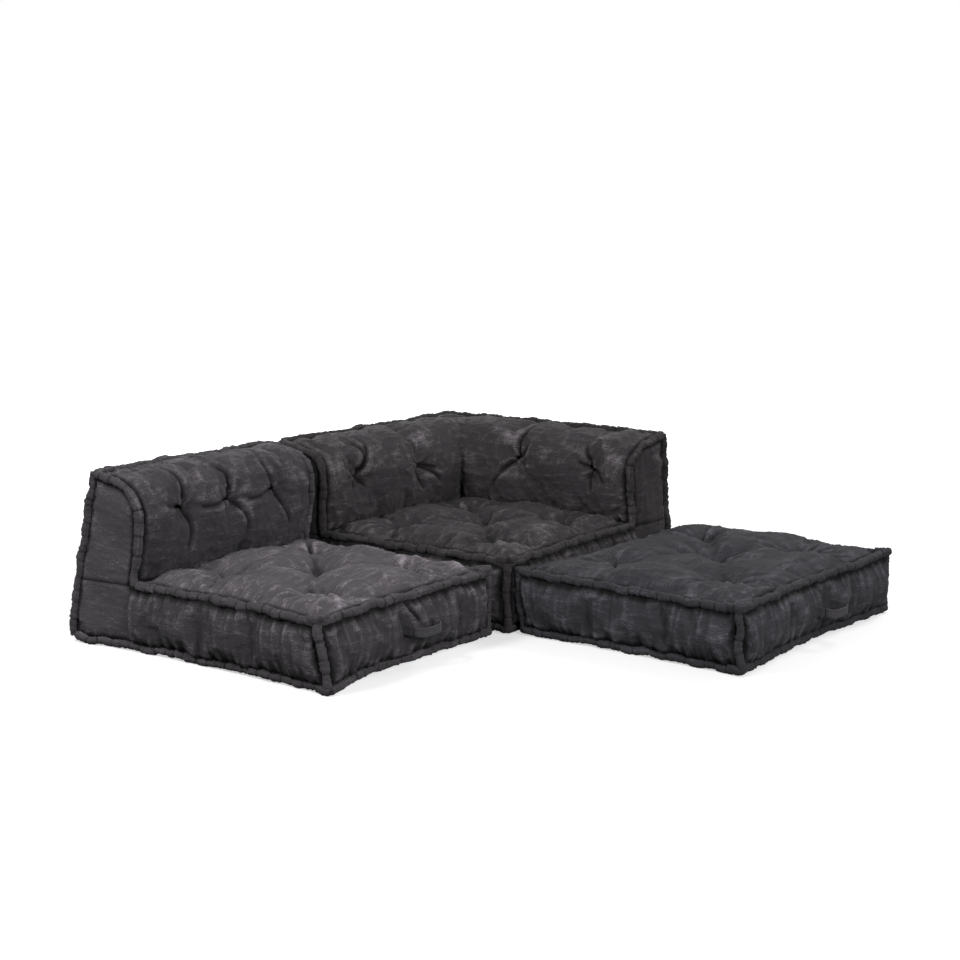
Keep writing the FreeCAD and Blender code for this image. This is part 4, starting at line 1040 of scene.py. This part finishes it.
def named(tree, label):
    """A number stored on the geometry earlier."""
    return add(tree, "GeometryNodeInputNamedAttribute", {"Name": label}, data_type="FLOAT").outputs[0]


def circle(tree, resolution, radius):
    """A round line."""
    inputs = {"Resolution": resolution, "Radius": radius}
    return add(tree, "GeometryNodeCurvePrimitiveCircle", inputs).outputs[0]


def hand_out(tree, geometry, given, wanted):
    """Give the geometry its material and pass it to the tree's output."""
    dressed = add(tree, "GeometryNodeSetMaterial", {"Geometry": geometry, "Material": given["Cloth"]})
    plug(tree, wanted["Geometry"], dressed.outputs[0])
    return tree


def sew(tree, line, strand, chosen=True):
    """Copies of a strand at the chosen points of a line."""
    stops = add(tree, "GeometryNodeCurveToPoints", {"Curve": line}, mode="EVALUATED").outputs
    copies = add(tree, "GeometryNodeInstanceOnPoints", {
        "Points": stops["Points"], "Selection": chosen, "Instance": strand, "Rotation": stops["Rotation"]})
    return add(tree, "GeometryNodeRealizeInstances", {0: copies.outputs[0]}).outputs[0]


def make_pinch_rhythm():
    """Where along a roll its stitches pinch it: 1 at a stitch, 0 half-way to the next."""
    tree, given, wanted = new_tree("Pinch rhythm", "GeometryNodeTree",
                                   {"Spacing": "Float", "Unevenness": "Float"},
                                   {"Pinch": "Float", "Length": "Float"})
    length = add(tree, "GeometryNodeSplineParameter").outputs["Length"]
    place = add(tree, "GeometryNodeInputPosition").outputs[0]
    chance = noise(tree, 11.0, detail=1.0, place=place)
    shift = times(tree, minus(tree, chance, 0.5), given["Unevenness"])
    phase = math_node(tree, "FRACT", math_node(tree, "DIVIDE", plus(tree, length, shift), given["Spacing"]))
    plug(tree, wanted["Pinch"], times(tree, math_node(tree, "ABSOLUTE", minus(tree, phase, 0.5)), 2.0))
    plug(tree, wanted["Length"], length)
    return tree


def start_roll_tree(name, rhythm):
    """First half of both roll trees: the line, evenly divided, with its pinches."""
    tree, given, wanted = new_line_tree(name)
    line = divide(tree, given["Line"], ROLL_DIVISION)
    beat = add(tree, "GeometryNodeGroup", node_tree=rhythm)
    plug(tree, beat.inputs["Spacing"], given["Spacing"])
    plug(tree, beat.inputs["Unevenness"], STITCH_UNEVENNESS)
    line = mark(tree, line, "pinch", beat.outputs["Pinch"])
    line = mark(tree, line, "along", beat.outputs["Length"])
    return tree, given, wanted, line


def make_roll_tree(rhythm):
    """Rolled edge: a soft tube that swells between its pinches, with slanting folds."""
    tree, given, wanted, line = start_roll_tree("Rolled edge", rhythm)
    sharp = math_node(tree, "POWER", named(tree, "pinch"), PINCH_SHARPNESS)
    plump = plus(tree, ROLL_LEAST, times(tree, noise(tree, 26.0, detail=1.0), ROLL_SLACK))
    size = times(tree, minus(tree, plump, times(tree, sharp, PINCH_DEPTH)), given["Radius"])
    turn = add(tree, "GeometryNodeSplineParameter").outputs["Factor"]
    profile = mark(tree, circle(tree, 14, 1.0), "round", turn)
    tube = add(tree, "GeometryNodeCurveToMesh", {
        "Curve": line, "Profile Curve": profile, "Scale": size, "Fill Caps": True}).outputs[0]
    angle = times(tree, named(tree, "round"), 2 * math.pi)
    folds = add(tree, "ShaderNodeCombineXYZ", {
        0: times(tree, named(tree, "along"), FOLD_RATE),
        1: times(tree, math_node(tree, "COSINE", angle), FOLD_TURN),
        2: times(tree, math_node(tree, "SINE", angle), FOLD_TURN)}).outputs[0]
    fold = noise(tree, 1.0, detail=3.0, roughness=0.6, place=folds)
    height = times(tree, minus(tree, fold, 0.5), FOLD_HEIGHT)
    normal = add(tree, "GeometryNodeInputNormal").outputs[0]
    tube = add(tree, "GeometryNodeSetPosition", {
        "Geometry": tube, "Offset": scaled(tree, normal, height)}).outputs[0]
    # The crest lightens the roll's folds, partly as wear and partly as painted highlight, and dips at the
    # pinches for painted shade there.
    tube = mark(tree, tube, "crest", minus(tree, times(tree, height, 0.9), times(tree, sharp, 0.012)))
    tube = mark(tree, tube, "fade", ROLL_TONE_SHIFT)
    place = add(tree, "ShaderNodeCombineXYZ", {
        0: named(tree, "along"), 1: times(tree, named(tree, "round"), ROLL_GIRTH)}).outputs[0]
    tube = mark(tree, tube, "cloth", place, data_type="FLOAT2", domain="CORNER")
    return hand_out(tree, tube, given, wanted)


def make_stitch_tree(rhythm):
    """Roll stitches: a turn of twine round the roll at each pinch."""
    tree, given, wanted, line = start_roll_tree("Roll stitches", rhythm)
    chosen = math_node(tree, "GREATER_THAN", named(tree, "pinch"), 0.9)
    around = circle(tree, 12, times(tree, given["Radius"], TWINE_RING))
    turn = add(tree, "GeometryNodeCurveToMesh", {"Curve": around, "Profile Curve": circle(tree, 4, TWINE)})
    return hand_out(tree, sew(tree, line, turn.outputs[0], chosen), given, wanted)


def make_running_stitch_tree():
    """Running stitch: short strands laid end to end along a line."""
    tree, given, wanted = new_line_tree("Running stitch")
    line = divide(tree, given["Line"], given["Spacing"])
    ball = add(tree, "GeometryNodeMeshUVSphere", {"Segments": 6, "Rings": 5, "Radius": given["Radius"]})
    strand = add(tree, "GeometryNodeTransform", {"Geometry": ball.outputs[0], "Scale": (1, 1, 3.0)})
    return hand_out(tree, sew(tree, line, strand.outputs[0]), given, wanted)


def grow(name, lines, tree, material, radius, spacing):
    """A piece grown along lines by a geometry tree."""
    curve = bpy.data.curves.new(name, "CURVE")
    curve.dimensions = "3D"
    for points, closed in lines:
        spline = curve.splines.new("POLY")
        spline.points.add(len(points) - 1)
        spline.points.foreach_set("co", np.c_[points, np.ones(len(points))].astype(np.float32).reshape(-1))
        spline.use_cyclic_u = closed
    host = new_object(name, curve)
    growth = host.modifiers.new("growth", "NODES")
    growth.node_group = tree
    sockets = {item.name: item.identifier for item in tree.interface.items_tree if item.in_out == "INPUT"}
    for label, value in (("Radius", radius), ("Spacing", spacing), ("Cloth", material)):
        growth[sockets[label]] = value
    graph = bpy.context.evaluated_depsgraph_get()
    mesh = bpy.data.meshes.new_from_object(host.evaluated_get(graph))
    bpy.data.objects.remove(host)
    bpy.data.curves.remove(curve)
    mesh.name = name
    for label in ("pinch", "along", "round"):
        if label in mesh.attributes:
            mesh.attributes.remove(mesh.attributes[label])
    smooth(mesh)
    points = read_vectors(mesh.vertices, "co")
    points[:, 2] = np.maximum(points[:, 2], FLOOR_CLEARANCE)
    write_points(mesh, points)
    return new_object(name, mesh)


def make_rolls(cushion, roll_tree, stitch_tree, cloth, thread):
    """A cushion's rolled edges and the twine that pinches them."""
    lines = []
    for corners, closed in roll_lines(cushion):
        path = np.array([*corners, corners[0]] if closed else corners, float)
        path = curved(even_points(path, round(travelled(path)[-1] / ROLL_STEP)), 2)
        path += np.stack([ROLL_WANDER * waves(path, 0.075, seed) for seed in (21, 22, 23)], axis=-1)
        lines.append((cushion.to_world(cushion.slumped(path[:-1] if closed else path)), closed))
    lines += [(cushion.to_world(cushion.slumped(curved(fold, 2))), False) for fold in ears(cushion)]
    name = cushion.name
    rolls = grow(f"{name}_rolled_edges", lines, roll_tree, cloth, ROLL, STITCH_SPACING)
    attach(rolls, name)
    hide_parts(f"{name}_base_roll", f"{name}_corner_rolls",
                f"{name}_top_roll" if name == "pouf" else f"{name}_upper_roll")
    stitches = grow(f"{name}_roll_stitches", lines, stitch_tree, thread, ROLL, STITCH_SPACING)
    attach(stitches, name)


def band_mesh(name, paths, material):
    """Flat straps along level paths, with turned-over edges and their cloth map."""
    turn = np.linspace(0, 2 * math.pi, 20, endpoint=False)
    up = STRAP_WIDTH / 2 * np.sign(np.cos(turn)) * np.abs(np.cos(turn)) ** 0.4
    out = STRAP_THICK / 2 * np.sign(np.sin(turn)) * np.abs(np.sin(turn)) ** 0.7
    out *= 1 + 0.5 * (2 * up / STRAP_WIDTH) ** 6
    count = len(turn)
    points, faces, mapped = [], [], []
    for path in paths:
        first = sum(len(row) for row in points)
        forward = np.gradient(path, axis=0)
        forward /= np.linalg.norm(forward, axis=1, keepdims=True)
        aside = np.cross(forward, (0, 0, 1))
        rows = path[:, None] + up[None, :, None] * np.array((0, 0, 1)) + out[None, :, None] * aside[:, None]
        points.append(rows.reshape(-1, 3))
        run = travelled(path)
        for row in range(len(path) - 1):
            for spot in range(count):
                after = (spot + 1) % count
                corners = ((row, spot), (row, after), (row + 1, after), (row + 1, spot))
                faces.append([first + place * count + column for place, column in corners])
                mapped += [(run[place], up[column]) for place, column in corners]
        for row, order in ((0, -1), (len(path) - 1, 1)):
            faces.append([first + row * count + spot for spot in range(count)][::order])
            mapped += [(run[row], height) for height in up[::order]]
    mesh = bpy.data.meshes.new(name)
    mesh.from_pydata(np.concatenate(points).tolist(), [], faces)
    map_cloth(mesh, mapped)
    smooth(mesh)
    mesh.materials.append(material)
    form = bmesh.new()
    form.from_mesh(mesh)
    bmesh.ops.recalc_face_normals(form, faces=form.faces)
    form.to_mesh(mesh)
    form.free()
    return new_object(name, mesh)


def make_handle(cushion, stitch_tree, cloth, thread):
    """A carrying strap: its swinging loop, its sewn-in ends and their stitches."""
    name = cushion.name
    axis = cushion.half_x + HANDLE_REACH
    height = cushion.seat / 2
    angle = np.linspace(0, math.pi, 41)
    lateral = -STRAP_SPAN / 2 * np.sign(np.cos(angle)) * np.abs(np.cos(angle)) ** 0.62
    bow = (STRAP_BOW - STRAP_THICK / 2) * np.sin(angle) ** 0.75
    loop = panel(axis + bow, HANDLE_OFFSET + lateral, height - STRAP_SAG * np.sin(angle))
    ends = []
    for side in (-1, 1):
        inner = np.linspace(-0.036, 0.012, 14)
        flare = side * (STRAP_SPAN / 2 + STRAP_THICK + 0.004 * (inner[::-1] - inner[-1]) / 0.048)
        ends.append(panel(axis + inner * 1.2 - 0.006, HANDLE_OFFSET + flare, height))
    strap = band_mesh(f"{name}_carry_strap", [cushion.to_world(loop)], cloth)
    tabs = band_mesh(f"{name}_strap_ends", [cushion.to_world(end) for end in ends], cloth)
    aside = np.cross(np.gradient(loop, axis=0), (0, 0, 1))
    aside /= np.linalg.norm(aside, axis=1, keepdims=True)
    rows = [loop[2:-2] + aside[2:-2] * (side * (STRAP_THICK / 2 + 0.0001)) + np.array((0, 0, level))
            for side in (-1, 1) for level in (-STRAP_HEM, STRAP_HEM)]
    rows = [(cushion.to_world(row), False) for row in rows]
    sewn = grow(f"{name}_strap_stitches", rows, stitch_tree, thread, STRAP_STITCH, STRAP_STITCH_SPACING)
    riders = ((strap, f"{name}_handle", "strap"), (tabs, name, "strap"), (sewn, f"{name}_handle", "twine"))
    for piece, body, slot in riders:
        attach(piece, body)
    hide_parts(f"{name}_handle_strap")
    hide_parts(f"{name}_handle_tabs")


def shade(name, build):
    """A material whose Principled shader is fed by build(tree, shader)."""
    material = bpy.data.materials.new(name)
    material.use_nodes = True
    build(material.node_tree, material.node_tree.nodes["Principled BSDF"])
    return material


def mix(tree, share, first, second):
    """Two colours mixed."""
    return add(tree, "ShaderNodeMix", {0: share, 6: first, 7: second}, data_type="RGBA").outputs[2]


def between(tree, value, low, high, first=0.0, second=1.0):
    """A value carried smoothly from one range to another."""
    return add(tree, "ShaderNodeMapRange", {0: value, 1: low, 2: high, 3: first, 4: second},
               interpolation_type="SMOOTHSTEP").outputs[0]


def stretched_noise(tree, place, stretch, detail, roughness):
    """Noise over the cloth, with its own scale along and across the weft."""
    stretched = add(tree, "ShaderNodeVectorMath", {0: place, 1: stretch}, operation="MULTIPLY").outputs[0]
    return noise(tree, 1.0, detail, roughness, stretched)


def attribute(tree, label):
    """A number stored on the mesh."""
    return add(tree, "ShaderNodeAttribute", attribute_name=label).outputs["Fac"]


def make_stonewash():
    """Colour of stonewashed canvas: chalky strokes along the weft, crests lighter partly from wear and partly as
    painted highlight, and painted shade in hollows, pits, creases and along the seams.
    """
    tree, given, wanted = new_tree("Stonewash", "ShaderNodeTree",
                                   {"Dye": "Color", "Chalk": "Color", "Shift": "Vector"},
                                   {"Color": "Color", "Worn": "Float"})
    cloth = add(tree, "ShaderNodeUVMap", uv_map="cloth").outputs[0]
    place = add(tree, "ShaderNodeVectorMath", {0: cloth, 1: given["Shift"]}, operation="ADD").outputs[0]
    strokes = stretched_noise(tree, place, (11, 58, 1), 8, 0.76)
    patches = stretched_noise(tree, place, (6, 9, 1), 3, 0.55)
    grain = stretched_noise(tree, place, (190, 300, 1), 3, 0.75)
    crest, seam, fade = (attribute(tree, label) for label in ("crest", "seam", "fade"))
    # Crests lighter towards the chalk tone: partly wear, partly painted highlight.
    crest_wear_and_highlight = between(tree, crest, 0.0005, 0.0075)
    streaked = between(tree, strokes, 0.36, 0.74, 0.0, 0.85)
    blotched = between(tree, patches, 0.46, 0.76, -0.30, 0.30)
    washed = plus(tree, plus(tree, streaked, blotched), times(tree, minus(tree, grain, 0.5), 2.7))
    washed = plus(tree, times(tree, washed, 0.55), times(tree, crest_wear_and_highlight, 0.31))
    # The mix towards the chalk tone: wear, with the crests' painted highlight in it.
    wear_and_highlight = between(tree, washed, 0.0, 1.05)
    # Each kind of panel and the rolls made lighter or darker by a set amount.
    color = scaled(tree, mix(tree, wear_and_highlight, given["Dye"], given["Chalk"]), plus(tree, fade, 1.0))
    # Painted shade: dark in the hollows, near the seams and in the pits and creases.
    painted_hollow_shade = between(tree, crest, -0.0010, -0.010, 0.0, 0.75)
    shadow = math_node(tree, "MAXIMUM", painted_hollow_shade, times(tree, seam, 0.97))
    plug(tree, wanted["Color"], mix(tree, shadow, color, SHADOW))
    plug(tree, wanted["Worn"], wear_and_highlight)
    return tree


def make_weave():
    """Normal of canvas: crossing threads, slubs along the weft and small crumples."""
    tree, given, wanted = new_tree("Canvas weave", "ShaderNodeTree", {"Thread": "Float", "Crumple": "Float"},
                                   {"Normal": "Vector"})
    cloth = add(tree, "ShaderNodeUVMap", uv_map="cloth").outputs[0]
    axes = add(tree, "ShaderNodeSeparateXYZ", {0: cloth}).outputs
    turns = [math_node(tree, "DIVIDE", times(tree, axes[axis], 2 * math.pi), given["Thread"]) for axis in (0, 1)]
    warp, weft = (math_node(tree, "SINE", turn) for turn in turns)
    threads = times(tree, warp, weft)
    slubs = stretched_noise(tree, cloth, (60, 420, 1), 3, 0.6)
    crumples = stretched_noise(tree, cloth, (38, 46, 1), 4, 0.6)
    bump = add(tree, "ShaderNodeBump", {"Strength": 0.30, "Distance": 0.0006, "Height": threads}).outputs[0]
    for strength, distance, height in ((0.5, 0.0016, slubs), (0.7, given["Crumple"], crumples)):
        bump = add(tree, "ShaderNodeBump", {
            "Strength": strength, "Distance": distance, "Height": height, "Normal": bump}).outputs[0]
    plug(tree, wanted["Normal"], bump)
    return tree


def canvas_material(name, wash, weave):
    """Stonewashed canvas in its own dye."""
    def build(tree, shader):
        color = add(tree, "ShaderNodeGroup", node_tree=wash)
        for label, value in zip(("Dye", "Chalk", "Shift"), DYES[name]):
            plug(tree, color.inputs[label], value)
        relief = add(tree, "ShaderNodeGroup", node_tree=weave)
        plug(tree, relief.inputs["Thread"], THREAD_PITCH)
        plug(tree, relief.inputs["Crumple"], CRUMPLE_DEPTH)
        plug(tree, shader.inputs["Base Color"], color.outputs["Color"])
        plug(tree, shader.inputs["Roughness"], between(tree, color.outputs["Worn"], 0, 1, 0.82, 0.95))
        plug(tree, shader.inputs["Specular IOR Level"], SPECULAR)
        plug(tree, shader.inputs["Sheen Weight"], SHEEN)
        plug(tree, shader.inputs["Sheen Roughness"], 0.6)
        plug(tree, shader.inputs["Normal"], relief.outputs["Normal"])
    return shade(f"{name}_canvas", build)


def fibre_material(name, dark, light, size, roughness):
    """Twine, felt or covered buttons: fibres of two tones."""
    def build(tree, shader):
        place = add(tree, "ShaderNodeTexCoord").outputs["Object"]
        strands = noise(tree, 1 / size, detail=5.0, roughness=0.65, place=place)
        plug(tree, shader.inputs["Base Color"], mix(tree, between(tree, strands, 0.35, 0.68), dark, light))
        plug(tree, shader.inputs["Roughness"], roughness)
        bump = add(tree, "ShaderNodeBump", {"Strength": 0.6, "Distance": size / 3, "Height": strands})
        plug(tree, shader.inputs["Normal"], bump.outputs[0])
    return shade(name, build)


def make_floor():
    """White floor that takes a soft shadow near the sofa and glows away from it."""
    bpy.ops.mesh.primitive_plane_add(size=400, location=(0, 0, 0))
    floor = bpy.context.object
    floor.name = "floor"
    material = bpy.data.materials.new("floor_paper")
    material.use_nodes = True
    tree = material.node_tree
    tree.nodes.clear()
    lit = add(tree, "ShaderNodeBsdfDiffuse", {"Color": (0.5, 0.5, 0.51, 1)}).outputs[0]
    place = add(tree, "ShaderNodeTexCoord").outputs["Object"]
    away = add(tree, "ShaderNodeVectorMath", {0: place}, operation="LENGTH").outputs["Value"]
    glow = add(tree, "ShaderNodeEmission", {"Strength": between(tree, away, 1.1, 2.6, 0.54, 1.0)}).outputs[0]
    shown = add(tree, "ShaderNodeAddShader", {0: lit, 1: glow}).outputs[0]
    plain = add(tree, "ShaderNodeBsdfDiffuse", {"Color": (0.2, 0.2, 0.2, 1)}).outputs[0]
    seen = add(tree, "ShaderNodeLightPath").outputs["Is Camera Ray"]
    chosen = add(tree, "ShaderNodeMixShader", {0: seen, 1: plain, 2: shown}).outputs[0]
    add(tree, "ShaderNodeOutputMaterial", {0: chosen})
    floor.data.materials.append(material)


def make_stage():
    """White floor, soft light and the camera at the photograph's place."""
    scene = bpy.context.scene
    scene.view_settings.view_transform = "Standard"
    world = bpy.data.worlds.new("studio")
    scene.world = world
    world.use_nodes = True
    tree = world.node_tree
    background = tree.nodes["Background"]
    background.inputs["Color"].default_value = (1, 1, 1, 1)
    seen = add(tree, "ShaderNodeLightPath").outputs["Is Camera Ray"]
    strength = add(tree, "ShaderNodeMapRange", {0: seen, 3: SKY, 4: 1.0}).outputs[0]
    plug(tree, background.inputs["Strength"], strength)
    make_floor()
    for name, (place, target, size, power) in LAMPS.items():
        lamp = bpy.data.lights.new(name, "AREA")
        lamp.size = size
        lamp.energy = power
        holder = new_object(name, lamp)
        holder.location = place
        holder.rotation_euler = (Vector(target) - Vector(place)).to_track_quat("-Z", "Y").to_euler()
    view = bpy.data.cameras.new("photo_view")
    view.sensor_width = SENSOR_WIDTH
    view.lens = FOCAL_LENGTH / PHOTO_WIDTH * SENSOR_WIDTH
    camera = new_object("photo_view", view)
    camera.location = CAMERA_PLACE
    camera.rotation_euler = (math.radians(90 - CAMERA_DOWN), 0, math.radians(CAMERA_TURN))
    scene.camera = camera


wash, weave = make_stonewash(), make_weave()
canvas_cloths = {name: canvas_material(name, wash, weave) for name in DYES}
button_cloth = fibre_material("button_canvas", (0.018, 0.017, 0.018, 1), (0.050, 0.048, 0.050, 1), 0.003, 0.9)
thread = fibre_material("dark_twine", (0.020, 0.019, 0.020, 1), (0.060, 0.058, 0.060, 1), 0.0016, 0.85)
felt = fibre_material("felt_washer", (0.055, 0.050, 0.050, 1), (0.11, 0.10, 0.10, 1), 0.0022, 0.95)

covers = [make_middle_cover(), make_corner_cover(), make_pouf_cover()]
for number, cover in enumerate(covers):
    uneven = LUMP * waves(cover.points, LUMP_SIZE, 30 + number) * np.clip(cover.seam_distance / 0.05, 0, 1)
    cover.start = cover.points + cover.outward * (cover.swell + uneven)[:, None]
    cover.shape = cover.start
blow_up(covers)
make_canvases(covers, canvas_cloths)

rhythm = make_pinch_rhythm()
roll_tree, stitch_tree = make_roll_tree(rhythm), make_stitch_tree(rhythm)
for cushion in (middle, corner, pouf):
    make_rolls(cushion, roll_tree, stitch_tree, canvas_cloths[cushion.name], thread)

running_stitch = make_running_stitch_tree()
for cushion in (middle, pouf):
    make_handle(cushion, running_stitch, canvas_cloths["strap"], thread)

KEPT = {"twine": thread, "washers": felt, "tufts": button_cloth, "buttons": button_cloth}
for node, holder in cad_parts.items():
    material = KEPT.get(node.split("_")[-1])
    if material:
        for slot in holder.material_slots:
            slot.material = material

make_stage()
